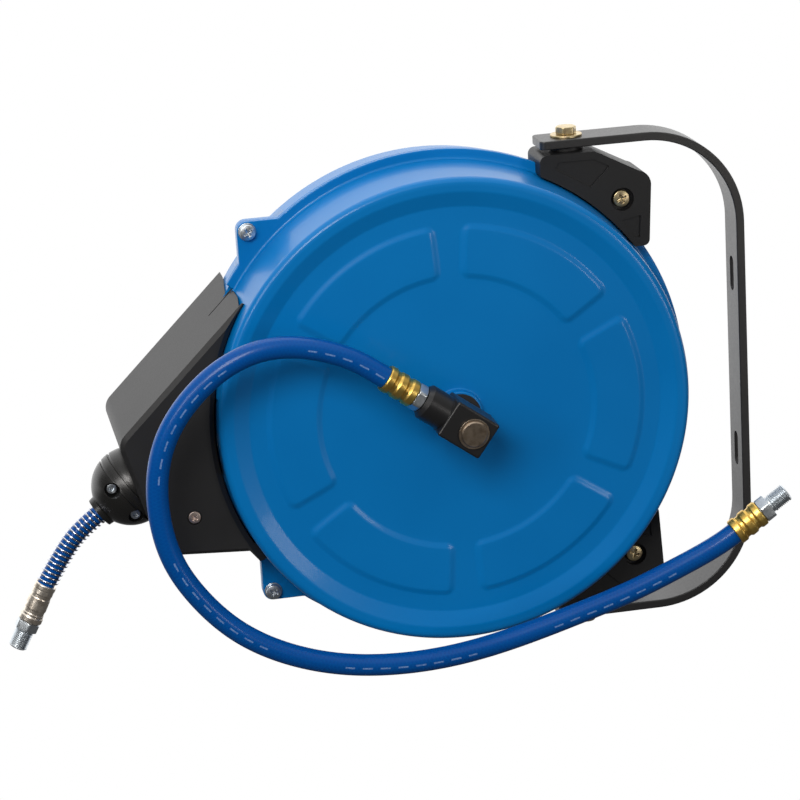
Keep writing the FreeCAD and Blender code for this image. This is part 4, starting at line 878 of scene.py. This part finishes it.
def pad_height(r, t):
    """Height of the sector pads over the dish."""
    if r < PAD_INNER_R - 5 or r > PAD_OUTER_R + 5:
        return 0.0
    phi = t % (TAU / 6)
    phi = abs(phi - TAU * (1 if phi > TAU / 12 else 0) / 6)  # from the pad's middle
    gap_in, gap_out = PAD_HALF_GAPS
    gap = gap_in + (gap_out - gap_in) * (r - PAD_INNER_R) / (PAD_OUTER_R - PAD_INNER_R)
    half = TAU / 12 - math.asin(min(1, gap / r))
    across = (abs(r - (PAD_OUTER_R + PAD_INNER_R) / 2) - (PAD_OUTER_R - PAD_INNER_R) / 2
              + PAD_CORNER)
    around = (phi - half) * r + PAD_CORNER
    inside = PAD_CORNER - (math.hypot(max(across, 0), max(around, 0))
                           + min(max(across, around), 0))
    k = min(max((inside + PAD_SLOPE_HALF) / (2 * PAD_SLOPE_HALF), 0), 1)
    return PAD_HEIGHT * k * k * (3 - 2 * k)


def densify(profile, zones):
    """Adds stations to the long runs of an (r, y) profile inside the zones."""
    out = []
    for (r0, y0), (r1, y1) in zip(profile, profile[1:]):
        out.append((r0, y0))
        cuts = set()
        for low, high, step in zones:
            r = low
            while r <= high + 1e-9:
                if min(r0, r1) + 0.3 < r < max(r0, r1) - 0.3:
                    cuts.add(round(r, 4))
                r += step
        for r in sorted(cuts, reverse=r1 < r0):
            k = (r - r0) / (r1 - r0)
            out.append((r, y0 + k * (y1 - y0)))
    out.append(profile[-1])
    return out


def cover_shell(outer, outer_fillets, rim, inner, inner_fillets, sign, pad_limit):
    """Revolved cover. Pads stand out by sign along Y, on outer stations nearer than pad_limit."""
    theta = cover_angles()
    cos, sin = np.cos(theta), np.sin(theta)
    edge = np.array([flange_radius(t) for t in theta])
    outer = densify(fillet(outer, outer_fillets, 5, closed=False), OUTER_ZONES)
    inner = densify(fillet(inner, inner_fillets, 4, closed=False), INNER_ZONES)
    rings = []

    def add_ring(r, y):
        y = np.broadcast_to(y, theta.shape)
        rings.append(np.stack([DRUM_X + r * cos, y, r * sin], 1))

    for r, y in outer:
        if 88 < r < 140 and abs(y) < pad_limit:
            y = y + sign * np.array([pad_height(r, t) for t in theta])
        add_ring(r, y)
    for inset, y in rim:
        add_ring(edge + inset, y)
    for r, y in inner[:-1]:  # its last point is the first of the outer run
        add_ring(r, y)
    return ring_shell(rings)


def side_opening(y0, y1):
    """Box through the wall on the side away from the strap."""
    verts = [(x, y, z) for x in (DRUM_X - 200, DRUM_X - 100) for y in (y0, y1)
             for z in (-30.0, 24.0)]
    faces = [(0, 1, 3, 2), (4, 6, 7, 5), (0, 4, 5, 1), (2, 3, 7, 6), (0, 2, 6, 4), (1, 5, 7, 3)]
    return oriented(verts, faces)


def flange_trim(y0, y1):
    """Box where the flange is cut back under the hose guide's top skin."""
    c, s = math.cos(TRIM_ANGLE), math.sin(TRIM_ANGLE)
    corners = [(out * c - across * s, out * s + across * c) for out, across in TRIM_CORNERS]
    verts = [(DRUM_X + x, y, z) for y in (y0, y1) for x, z in corners]
    faces = [(0, 1, 2, 3), (7, 6, 5, 4)]
    faces += [(i, 4 + i, 4 + (i + 1) % 4, (i + 1) % 4) for i in range(4)]
    return oriented(verts, faces)


def lug_holes(y0, y1):
    return [plug(y0, y1, LUG_HOLE_R, at_drum(LUG_OFFSET * sx, LUG_OFFSET * sz, BACK), n=32)
            for sx in SIGNS for sz in SIGNS]


def arbor_places():
    """The four bolts round the drum axis, on the back."""
    angles = [math.pi / 2 * k for k in range(4)]
    return [at_drum(ARBOR_BOLT_R * math.cos(t), ARBOR_BOLT_R * math.sin(t), BACK)
            for t in angles]


def lug_outline():
    """Thick lug in the +x, +z corner: a rounded corner closed by an arc."""
    far = math.sqrt(LUG_BACK_R * LUG_BACK_R - LUG_EDGE * LUG_EDGE)
    outline = fillet([(far, LUG_EDGE), (LUG_EDGE, LUG_EDGE), (LUG_EDGE, far)],
                     [0, LUG_CORNER_R, 0], 8, closed=False)
    start, end = math.atan2(far, LUG_EDGE), math.atan2(LUG_EDGE, far)
    for k in range(1, 8):
        t = start + (end - start) * k / 8
        outline.append((LUG_BACK_R * math.cos(t), LUG_BACK_R * math.sin(t)))
    return outline


def front_cover():
    shell = cover_shell(FRONT_OUTER, FRONT_OUTER_FILLETS, FRONT_RIM, FRONT_INNER,
                        FRONT_INNER_FILLETS, sign=-1.0, pad_limit=50.5)
    cover = add_part("front_cover_shell", [shell], "casing", "painted_blue", "front_cover")
    cutters = [side_opening(-36.0, 3.0), *lug_holes(-8, 8), flange_trim(-3.001, 1.0)]
    apply_boolean(cover, cutters, "DIFFERENCE", "cut_front")


def rear_cover():
    shell = cover_shell(REAR_OUTER, REAR_OUTER_FILLETS, REAR_RIM, REAR_INNER,
                        REAR_INNER_FILLETS, sign=1.0, pad_limit=44.5)
    cover = add_part("rear_cover_shell", [shell], "casing", "painted_blue", "rear_cover")
    for sx in SIGNS:
        for sz in SIGNS:
            outline = [(x * sx, z * sz) for x, z in lug_outline()]
            lug = prism(outline, y0=0.8, y1=7.0, bevel=0.45, steps=2)
            apply_boolean(cover, [lug], "UNION", "lug")
    cutters = [side_opening(-3.0, 36.0), *lug_holes(-8, 12)]
    cutters += [plug(35, 50, 2.7, place, n=24) for place in arbor_places()]
    cutters.append(flange_trim(-1.0, 3.001))
    apply_boolean(cover, cutters, "DIFFERENCE", "cut_rear")


front_cover()
rear_cover()

# ------------------------------------------------------------------ hoses
INLET_ORIGIN = np.array([DRUM_X, INLET_Y, 0.0])
INLET_DIRECTION = np.array([math.cos(INLET_ANGLE), 0, math.sin(INLET_ANGLE)])
INLET_HOSE_START, INLET_HOSE_END = 46.8, 70.2  # straight part inside the ferrule
SUPPLY_RISE = 9.0  # the loop's far end lies this much further back
# The supply hose's loop, as (x, z) from the drum axis
SUPPLY_LOOP = [
    (-73.6, 54.6), (-92.0, 63.2), (-112.0, 68.6), (-138.4, 68.8), (-165.9, 57.9),
    (-187.2, 40.2), (-204.6, 15.4), (-212.6, -11.6), (-213.2, -40.6), (-206.4, -71.5),
    (-190.6, -100.2), (-166.2, -127.3), (-134.2, -147.6), (-98.3, -160.2), (-57.7, -165.8),
    (-15.3, -164.6), (27.6, -157.2), (70.9, -146.0), (112.3, -133.6), (150.7, -118.6),
    (186.4, -100.6),
]
SUPPLY_DIRECTION = unit((25.0, 0, 17.0))


def supply_points():
    """The loop's points, easing back from the inlet to the far end."""
    points = [INLET_ORIGIN + INLET_DIRECTION * INLET_HOSE_END]
    for i, (x, z) in enumerate(SUPPLY_LOOP):
        t = (i + 1) / len(SUPPLY_LOOP)
        y = INLET_Y + SUPPLY_RISE * (3 * t * t - 2 * t ** 3)
        points.append(np.array([DRUM_X + x, y, z]))
    return points


SUPPLY_POINTS = supply_points()
SUPPLY_END = SUPPLY_POINTS[-1]


def add_hose(name, path, outer, bore, n, body, material, replaces):
    verts, faces, uv = hose_tube(path, outer, bore, n)
    add_part(name, [(verts, faces)], body, material, replaces, uv=uv,
             weighted=False)


def supply_hose():
    start = INLET_ORIGIN + INLET_DIRECTION * INLET_HOSE_START
    tip = SUPPLY_END + SUPPLY_DIRECTION * CRIMP_LENGTH
    path = np.concatenate([np.linspace(start, SUPPLY_POINTS[0], 9)[:-1],
                           spline(SUPPLY_POINTS, INLET_DIRECTION, SUPPLY_DIRECTION, 3.0),
                           np.linspace(SUPPLY_END, tip, 9)[1:]])
    add_hose("supply_hose_skin", path, SUPPLY_R, SUPPLY_BORE_R, 48, "inlet",
             "hose_blue_marked", "supply_hose")


def on_line(along, side=0.0):
    """Point on the outlet hose line; side moves it further from the drum axis."""
    c, s = math.cos(OUTLET_ANGLE), math.sin(OUTLET_ANGLE)
    side = side + OUTLET_OFFSET
    return np.array([DRUM_X - along * c - side * s, 0.0, -along * s + side * c])


OUTLET_DIRECTION = np.array([-math.cos(OUTLET_ANGLE), 0, -math.sin(OUTLET_ANGLE)])
FERRULE_DIRECTION = unit((-27.4, 0, -49.4))
# The bend's points after its start, as (x, z) from the drum axis
BEND = [(-266.0, -74.2), (-279.0, -91.3), (-288.4, -106.0)]
BEND_POINTS = [on_line(BEND_START)] + [np.array([DRUM_X + x, 0, z]) for x, z in BEND]
BEND_PATH = spline(BEND_POINTS, OUTLET_DIRECTION, FERRULE_DIRECTION, 0.8)
FERRULE_START = BEND_POINTS[-1]


def outlet_hose():
    tip = FERRULE_START + FERRULE_DIRECTION * 25.5
    path = np.concatenate([np.linspace(on_line(0), on_line(BEND_START), 80)[:-1],
                           resample(BEND_PATH, 1.5), np.linspace(FERRULE_START, tip, 10)[1:]])
    add_hose("outlet_hose_skin", path, OUTLET_R, OUTLET_BORE_R, 40, "hose_end", "hose_blue",
             "outlet_hose")


def bend_guard():
    """Coil spring round the outlet hose's bend."""
    coils, steps_per_coil = 17, 40
    wire_r, clearance = 0.8, 0.12
    coil_r = OUTLET_R + wire_r + clearance
    lengths = run_lengths(BEND_PATH)
    path_tangents, path_sides = path_normals(BEND_PATH, BACK)
    helix = []
    for i in range(coils * steps_per_coil + 1):
        t = i / (coils * steps_per_coil)
        at = lengths[-1] * (0.012 + 0.976 * t)
        centre, side, tangent = (sample(values, at, lengths)
                                 for values in (BEND_PATH, path_sides, path_tangents))
        across = np.cross(tangent, np.array([0, 1.0, 0]))
        angle = TAU * coils * t
        helix.append(centre + (side * math.cos(angle) + across * math.sin(angle)) * coil_r)
    add_part("bend_guard_coil", [wire_tube(np.array(helix), wire_r, 12)], "hose_end",
             "spring_steel", "bend_guard_spring", weighted=False)


supply_hose()
outlet_hose()
bend_guard()

# ------------------------------------------------------------------ fittings
FERRULE_PLACE = (FERRULE_START, FERRULE_DIRECTION, BACK)
SUPPLY_PLACE = (SUPPLY_END, SUPPLY_DIRECTION, BACK)
INLET_PLACE = (INLET_ORIGIN, INLET_DIRECTION, BACK)


def guard_ferrule():
    """Turned sleeve that holds the end of the bend guard."""
    end = FERRULE_LENGTH
    # along, radius, fillet
    stations = [
        (0.3, 6.03, 0.1), (end - 3.0, 6.03, 0), (end - 3.0, 5.2, 0), (end, 5.2, 0.1),
        (end, 7.7, 0.4), (end - 0.9, 8.5, 0.4), (end - 4.0, 8.5, 0.4), (end - 5.0, 7.9, 0.3),
        (end - 6.4, 7.9, 0.3), (end - 7.0, 7.55, 0.3), (end - 9.5, 7.55, 0.3),
        (end - 10.2, 7.95, 0.4), (11.0, 7.6, 0.4), (10.3, 7.3, 0.3), (8.2, 7.3, 0.3),
        (7.5, 7.6, 0.4), (4.4, 7.45, 0.3), (3.7, 7.75, 0.35), (1.1, 7.75, 0.4), (0.3, 7.2, 0.3),
    ]
    profile = fillet([s[:2] for s in stations], [s[2] for s in stations], 3)
    add_part("guard_ferrule_turned", [lathe(profile, FERRULE_PLACE, n=72)], "hose_end",
             "nickel_bright", "guard_ferrule")


def outlet_nipple():
    """Hose tail, hexagon and male thread."""
    hex_start = FERRULE_LENGTH
    hex_end = hex_start + OUTLET_HEX
    end = hex_end + OUTLET_THREAD
    before = [(hex_start - 20.0, 2.5), (hex_start - 20.0, 3.6), (hex_start - 4.0, 3.9),
              (hex_start - 4.0, 5.1), (hex_end - 0.5, 5.1), (hex_end - 0.5, THREAD_R - 0.85),
              (hex_end + 0.3, THREAD_R - 0.85)]
    after = [(end, THREAD_R - 1.0), (end, 3.3), (end - 1.2, 2.5)]
    body = threaded(before, hex_end + 1.0, end - 1.0, after, FERRULE_PLACE)
    hexagon = hex_prism(hex_start + 0.2, hex_end, flats=15.0, bore=4.6, place=FERRULE_PLACE)
    add_part("outlet_nipple_turned", [body, hexagon], "hose_end", "zinc", "outlet_nipple")


def supply_fitting():
    """Hose tail, hexagon and male thread on the far end of the supply hose."""
    before = [(3.0, 3.2), (3.0, 4.3), (4.5, 4.9), (22.9, 4.9), (23.15, 6.0), (31.6, 6.0),
              (31.6, THREAD_R - 0.85), (32.2, THREAD_R - 0.85)]
    after = [(46.0, THREAD_R - 0.95), (46.0, 3.9), (45.2, 3.2)]
    body = threaded(before, 33.0, 45.0, after, SUPPLY_PLACE)
    hexagon = hex_prism(23.3, 30.8, flats=17.0, bore=4.7, place=SUPPLY_PLACE,
                        turn=math.radians(30))
    add_part("supply_fitting_turned", [body, hexagon], "inlet", "zinc", "supply_fitting")


def inlet_nipple():
    """Male thread into the swivel collar, hexagon and barbed hose tail."""
    before = [(25.0, 3.2), (25.0, 5.6)]
    after = [(38.4, 6.0), (46.5, 6.0), (46.5, 4.6), (49.0, 4.9), (49.8, 4.6), (52.0, 4.9),
             (52.8, 4.6), (55.0, 4.9), (55.8, 4.6), (58.0, 4.9), (66.0, 4.9), (67.5, 4.3),
             (67.5, 3.2)]
    body = threaded(before, 26.2, 38.0, after, INLET_PLACE)
    hexagon = hex_prism(39.7, 46.3, flats=17.0, bore=4.5, place=INLET_PLACE,
                        turn=math.radians(30))
    add_part("inlet_nipple_turned", [body, hexagon], "inlet", "zinc", "inlet_nipple")


def crimped_ferrule(name, place, start, replaces):
    """Brass sleeve: three crests between two crimped grooves that carry eight die flats."""
    # along, radius, fillet
    stations = [
        (0.0, 7.55, 0.1), (0.0, 8.9, 0.4), (0.7, 9.45, 0.8), (4.8, 9.5, 1.2), (5.9, 8.55, 0.9),
        (8.1, 8.55, 0.9), (9.3, 9.5, 1.4), (13.7, 9.5, 1.4), (14.9, 8.55, 0.9),
        (17.1, 8.55, 0.9), (18.3, 9.5, 1.4), (22.2, 9.45, 0.8), (CRIMP_LENGTH, 8.9, 0.4),
        (CRIMP_LENGTH, 7.55, 0.1),
    ]
    profile = fillet([s[:2] for s in stations], [s[2] for s in stations], 4)

    def radius(_, along, r, angle):
        if r < 8.2:
            return r
        groove = max(math.exp(-((along - start - c) / 1.5) ** 2) for c in (7.0, 16.0))
        facet = abs(((angle / TAU * 8) % 1) - 0.5) * 2
        return r - groove * 0.32 * (1 - facet ** 1.5) + groove * 0.05

    profile = [(along + start, r) for along, r in profile]
    shell = lathe(profile, place, n=96, radius=radius)
    add_part(name, [shell], "inlet", "brass", replaces)


guard_ferrule()
outlet_nipple()
supply_fitting()
inlet_nipple()
crimped_ferrule("inlet_ferrule_crimped", INLET_PLACE, 46.6, "inlet_ferrule")
crimped_ferrule("supply_ferrule_crimped", SUPPLY_PLACE, 0.0, "supply_ferrule")

# ------------------------------------------------------------------ fasteners
WASHER_LOW, WASHER_TOP = 175.1, 176.7  # hinge washers, from z = 0
PIVOT_PLACES = [at_drum(PIVOT_OFFSET, 0, (0, 0, s)) for s in SIGNS]  # top, then bottom
GUIDE_SCREWS = [(-185.4, -57.4), (-208.0, -13.0)]  # (x, z) from the drum axis
STOP_BOLTS = [on_line(STOP_BOLT_ALONG, side) for side in (STOP_BOLT_SIDE, -STOP_BOLT_SIDE)]


def lug_places(side, axis):
    """Top and bottom lugs; side is +1 towards the wall, -1 away from it."""
    return [at_drum(LUG_OFFSET * side, LUG_OFFSET * s, axis) for s in SIGNS]


def pivot_bolts():
    """Hexagon head over a flat collar, shoulder and thread end."""
    # along, radius, fillet
    stations = [
        (152.0, 0.0, 0), (152.0, 3.4, 0), (152.6, 4.0, 0), (166.0, 4.0, 0), (166.0, 5.0, 0.3),
        (WASHER_TOP, 5.0, 0), (WASHER_TOP, 6.2, 0.1), (WASHER_TOP + 0.35, 6.2, 0),
        (WASHER_TOP + 0.35, 0.0, 0),
    ]
    shank = fillet([s[:2] for s in stations], [s[2] for s in stations], 2, closed=False)
    shells = []
    for place in PIVOT_PLACES:
        shells.append(hex_prism(WASHER_TOP + 0.3, WASHER_TOP + 5.3, flats=13.0, bore=0,
                                place=place, chamfer_start=False))
        shells.append(lathe(shank, place, n=48, closed=False))
    add_part("pivot_bolts_turned", shells, "casing", "zinc_yellow", "pivot_bolts")


def washers():
    add_part("pivot_washers_pressed",
             [washer(WASHER_LOW, WASHER_TOP, bore=5.1, radius=11.0,
                     rims=[0.1, 0.25, 0.45, 0.3], place=place, n=64)
              for place in PIVOT_PLACES],
             "casing", "zinc_yellow", "pivot_washers")


def lug_screws():
    """Pan heads on the lugs away from the wall, with their washers."""
    add_part("lug_screws_pan",
             [screw(top=7.8, height=3.6, radius=5.4, shank=3.0, shank_end=-14.0, place=place,
                    turn=0.5 * s)
              for s, place in zip(SIGNS, lug_places(-1, FRONT))],
             "casing", "zinc", "lug_screws")
    add_part("lug_washers_pressed",
             [washer(3.02, 4.18, bore=3.15, radius=6.2, rims=[0.1, 0.2, 0.35, 0.2],
                     place=place, n=56)
              for place in lug_places(-1, FRONT)],
             "casing", "zinc", "lug_washers")


def block_screws():
    """Pan heads on the pivot blocks."""
    add_part("block_screws_pan",
             [screw(top=16.6, height=3.6, radius=6.0, shank=3.0, shank_end=-17.5, place=place,
                    turn=0.35 * s)
              for s, place in zip(SIGNS, lug_places(1, FRONT))],
             "casing", "zinc_yellow", "block_screws")


def guide_screws():
    add_part("guide_screws_pan",
             [screw(top=39.8, height=1.8, radius=4.4, shank=1.95, shank_end=14.5,
                    place=at_drum(x, z, FRONT), depth=0.7, dome=0.2, turn=0.9)
              for x, z in GUIDE_SCREWS],
             "casing", "copper_screw", "guide_screws")


def ball_stop_bolts():
    """Socket bolts from the front and their nuts behind."""
    add_part("ball_bolts_socket",
             [screw(top=17.5, height=4.0, radius=3.6, shank=2.0, shank_end=-17.0,
                    place=(point, FRONT, X_AXIS), recess="hex", arm=0.52, depth=0.5, dome=0.05)
              for point in STOP_BOLTS],
             "hose_end", "zinc", "ball_bolts")
    add_part("ball_nuts_hex",
             [hex_prism(13.5, 16.7, flats=7.0, bore=2.05,
                        place=(point, BACK, OUTLET_DIRECTION), n=48)
              for point in STOP_BOLTS],
             "hose_end", "zinc", "ball_nuts")


def casing_nuts(name, start, end, flats, bore, places, material, replaces):
    shells = [hex_prism(start, end, flats, bore, place) for place in places]
    add_part(name, shells, "casing", material, replaces)


def arbor_bolts():
    """Socket bolts on the back, round the drum axis."""
    add_part("arbor_bolts_socket",
             [screw(top=50.4, height=2.9, radius=4.2, shank=2.5, shank_end=36.7, place=place,
                    recess="hex", arm=0.5, dome=0.12, turn=0.2)
              for place in arbor_places()],
             "casing", "zinc", "arbor_bolts")


pivot_bolts()
washers()
lug_screws()
block_screws()
guide_screws()
ball_stop_bolts()
casing_nuts("lug_nuts_hex", 7.0, 12.0, flats=10.0, bore=3.05, places=lug_places(-1, BACK),
            material="zinc", replaces="lug_nuts")
casing_nuts("block_nuts_hex", 12.9, 17.9, flats=10.0, bore=3.05, places=lug_places(1, BACK),
            material="zinc_yellow", replaces="block_nuts")
arbor_bolts()
casing_nuts("pivot_nuts_hex", 152.5, 159.0, flats=13.0, bore=4.05, places=PIVOT_PLACES,
            material="zinc_yellow", replaces="pivot_nuts")

# ------------------------------------------------------------------ kept CAD nodes
# node: material, bevel width in mm (0: none), bevel segments, slot
KEPT = {
    "wall_bracket": ("black_metal", 0.9, 3, "black_metal"),
    "pivot_block_top": ("block_plastic", 0.7, 3, "black_plastic"),
    "pivot_block_bottom": ("block_plastic", 0.7, 3, "black_plastic"),
    "pivot_spacers": ("black_plastic", 0.3, 2, "black_plastic"),
    "guide_housing": ("black_plastic", 0.9, 3, "black_plastic"),
    "guide_lid": ("black_plastic", 0.9, 3, "black_plastic"),
    "roller_pins": ("zinc", 0.3, 2, "zinc"),
    "guide_roller_upper": ("bush_plastic", 0.4, 2, "bush_plastic"),
    "guide_roller_lower": ("bush_plastic", 0.4, 2, "bush_plastic"),
    "front_bush": ("black_plastic", 0.25, 2, "black_plastic"),
    "rear_bush": ("bush_plastic", 0.25, 2, "bush_plastic"),
    "spring_arbor": ("zinc", 0.4, 2, "zinc"),
    "arbor_nuts": ("zinc", 0.2, 2, "zinc"),
    "pawl_pin": ("zinc", 0.1, 2, "zinc"),
    "pawl_spring": ("spring_steel", 0, 0, "spring_steel"),
    "pawl": ("black_metal", 0.25, 2, "black_metal"),
    "drum_hub": ("black_plastic", 0.4, 2, "black_plastic"),
    "drum_flange_front": ("galvanised", 0.4, 2, "galvanised"),
    "drum_flange_rear": ("galvanised", 0.4, 2, "galvanised"),
    "flange_screws": ("zinc", 0.4, 2, "zinc"),
    "flange_screws_rear": ("zinc", 0.25, 2, "zinc"),
    "shaft_screws": ("zinc", 0.4, 2, "zinc"),
    "main_shaft": ("nickel", 0.15, 2, "zinc"),
    "hub_elbow": ("brass", 0.3, 2, "brass"),
    "spring_cassette": ("galvanised", 0.4, 2, "galvanised"),
    "cassette_cover": ("galvanised", 0.4, 2, "galvanised"),
    "power_spring": ("spring_steel", 0, 0, "spring_steel"),
    "ratchet_ring": ("black_metal", 0.25, 2, "black_metal"),
    "ratchet_screws": ("zinc", 0.25, 2, "zinc"),
    "wound_hose": ("hose_blue", 0, 0, "hose_blue"),
    "swivel_o_rings": ("seal", 0, 0, "seal"),
    "swivel_circlip": ("nickel", 0.2, 2, "spring_steel"),
    "swivel_body": ("black_satin", 0.5, 3, "black_metal"),
    "ball_stop_front": ("ball_plastic", 0.5, 3, "seal"),
    "ball_stop_rear": ("ball_plastic", 0.5, 3, "seal"),
}


def finish_kept(node, material, bevel, segments, slot):
    """Material and rounded edges for a node whose mesh is kept."""
    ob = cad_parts[node]
    mesh = ob.data
    mesh.materials.clear()
    mesh.materials.append(MATERIALS[material])
    smooth(mesh)
    mesh.polygons.foreach_set("material_index", [0] * len(mesh.polygons))
    weld = ob.modifiers.new("weld", "WELD")
    weld.merge_threshold = 0.00001
    if bevel:
        # merge flat faces first, so that the bevel sees only real edges
        flat = ob.modifiers.new("flat", "DECIMATE")
        flat.decimate_type = "DISSOLVE"
        flat.angle_limit = math.radians(0.4)
        rim = ob.modifiers.new("rim", "BEVEL")
        rim.width = bevel * MM
        rim.segments = segments
        rim.limit_method = "ANGLE"
        rim.angle_limit = math.radians(30)
        rim.use_clamp_overlap = True
        rim.miter_outer = "MITER_ARC"
    weight_normals(ob)


for node, finish in KEPT.items():
    finish_kept(node, *finish)

# ------------------------------------------------------------------ stage, light and camera
# Metres from here on, except the camera's offsets
FLOOR_Z = -0.42
FLOOR_HALF_WIDTH = 9.0
FLOOR_FRONT, FLOOR_BACK = -6.0, 3.0
SWEEP_R = 2.0
BACKDROP_HEIGHT = 7.0
FLOOR_GLOW, BACK_GLOW = 0.08, 1.5  # what the stage gives off to everything but the camera
WORLD_LOW, WORLD_TOP, WORLD_BACK = 0.10, 0.85, 0.5
KEY_POWER, TOP_POWER, SIDE_POWER = 35.0, 5.0, 7.0
LIGHT_TARGET = Vector((-0.22, 0.0, 0.0))

# name, location, width, height, power, colour
LIGHTS = [
    ("key_front_top", (-1.15, -1.9, 1.35), 0.9, 0.9, KEY_POWER, (1.0, 0.97, 0.94)),
    ("side_left", (-1.7, -1.3, 0.75), 0.45, 0.6, SIDE_POWER, (1.0, 0.98, 0.96)),
    ("side_right", (1.1, -1.9, 0.0), 0.4, 0.6, SIDE_POWER * 0.8, (1.0, 0.97, 0.93)),
    ("top_box", (-0.2, 0.5, 1.8), 1.4, 1.0, TOP_POWER, (1.0, 0.97, 0.94)),
]

CAMERA_AZIMUTH = math.radians(-10.03)
CAMERA_ELEVATION = math.radians(16.57)
CAMERA_ROLL = math.radians(-3.41)
CAMERA_TARGET = (DRUM_X, -52.0, 0.0)  # mm
CAMERA_DISTANCE = 2025.26  # mm
CAMERA_SHIFT_RIGHT = -40.09328  # mm
CAMERA_SHIFT_UP = 9.13083  # mm


def floor_material():
    """White to the camera; a graded glow, brighter up and back, to everything else."""
    m = Material("studio_floor")
    position = m.separate(m.node("NewGeometry").outputs["Position"])
    glow_range = (FLOOR_GLOW, BACK_GLOW)
    card = m.math("MAXIMUM", m.remap(position[2], source=(-0.3, 0.9), target=glow_range),
                  m.remap(position[1], source=(0.3, 1.35), target=glow_range))
    camera_ray = m.node("LightPath").outputs["Is Camera Ray"]
    glow = m.math("ADD", m.math("MULTIPLY", camera_ray, 1.0),
                  m.math("MULTIPLY", m.math("SUBTRACT", 1.0, camera_ray), card))
    m.surface(Base_Color=(0.0, 0.0, 0.0), Roughness=0.9, Specular_IOR_Level=0.0,
              Emission_Color=(1.0, 1.0, 1.0), Emission_Strength=glow)


def studio_floor():
    """Floor that curves up into a backdrop far behind."""
    profile = [(FLOOR_FRONT, FLOOR_Z), (FLOOR_BACK, FLOOR_Z)]  # y, z
    for k in range(1, 13):
        t = math.pi / 2 * k / 12
        profile.append((FLOOR_BACK + SWEEP_R * math.sin(t),
                        FLOOR_Z + SWEEP_R * (1 - math.cos(t))))
    profile.append((FLOOR_BACK + SWEEP_R, FLOOR_Z + BACKDROP_HEIGHT))
    verts = [(x, y, z) for y, z in profile for x in (-FLOOR_HALF_WIDTH, FLOOR_HALF_WIDTH)]
    faces = [(2 * i, 2 * i + 1, 2 * i + 3, 2 * i + 2) for i in range(len(profile) - 1)]
    mesh = bpy.data.meshes.new("studio_floor")
    mesh.from_pydata(verts, [], faces)
    smooth(mesh)
    floor_material()
    mesh.materials.append(MATERIALS["studio_floor"])
    link("studio_floor", mesh)


def studio_world():
    """White to the camera; light from above and behind for everything else."""
    world = bpy.data.worlds.new("studio")
    SCENE.world = world
    world.use_nodes = True
    t = Tree(world.node_tree)
    direction = t.separate(t.coords("Generated"))
    above = t.remap(direction[2], source=(0.30, 0.85), target=(WORLD_LOW, WORLD_TOP),
                    interpolation_type="SMOOTHSTEP")
    behind = t.remap(direction[1], source=(0.05, 0.6), target=(0.0, WORLD_BACK),
                     interpolation_type="SMOOTHSTEP")
    light = t.math("ADD", above, behind)
    camera_ray = t.node("LightPath").outputs["Is Camera Ray"]
    choice = t.node("Mix", data_type="FLOAT")
    t.put(choice.inputs[0], camera_ray)
    t.put(choice.inputs[2], light)
    t.put(choice.inputs[3], 1.0)
    background = world.node_tree.nodes["Background"]
    t.put(background.inputs[0], (1, 1, 1))
    t.put(background.inputs[1], choice.outputs[0])


def area_light(name, location, width, height, power, colour):
    light = bpy.data.lights.new(name, "AREA")
    light.energy = power
    light.shape = "RECTANGLE"
    light.size = width
    light.size_y = height
    light.color = colour
    ob = link(name, light)
    ob.location = location
    aim = LIGHT_TARGET - Vector(location)
    ob.rotation_euler = aim.to_track_quat("-Z", "Y").to_euler()


def camera():
    cos_az, sin_az = math.cos(CAMERA_AZIMUTH), math.sin(CAMERA_AZIMUTH)
    cos_el, sin_el = math.cos(CAMERA_ELEVATION), math.sin(CAMERA_ELEVATION)
    cos_roll, sin_roll = math.cos(CAMERA_ROLL), math.sin(CAMERA_ROLL)
    backward = np.array([sin_az * cos_el, -cos_az * cos_el, sin_el])
    level_right = np.array([cos_az, sin_az, 0])
    level_up = np.cross(backward, level_right)
    right = cos_roll * level_right + sin_roll * level_up
    up = -sin_roll * level_right + cos_roll * level_up
    location = (CAMERA_SHIFT_RIGHT * right + CAMERA_SHIFT_UP * up
                + CAMERA_DISTANCE * backward + np.array(CAMERA_TARGET))
    data = bpy.data.cameras.new("camera")
    data.sensor_width = 36.0
    data.lens = 132.75
    data.clip_start = 0.05
    data.clip_end = 60.0
    ob = link("camera", data)
    rotation = Matrix((right.tolist(), up.tolist(), backward.tolist())).transposed()
    ob.matrix_world = Matrix.Translation(Vector((location * MM).tolist())) @ rotation.to_4x4()
    SCENE.camera = ob


studio_floor()
studio_world()
for row in LIGHTS:
    area_light(*row)
camera()
SCENE.view_settings.view_transform = "Standard"
SCENE.view_settings.look = "None"
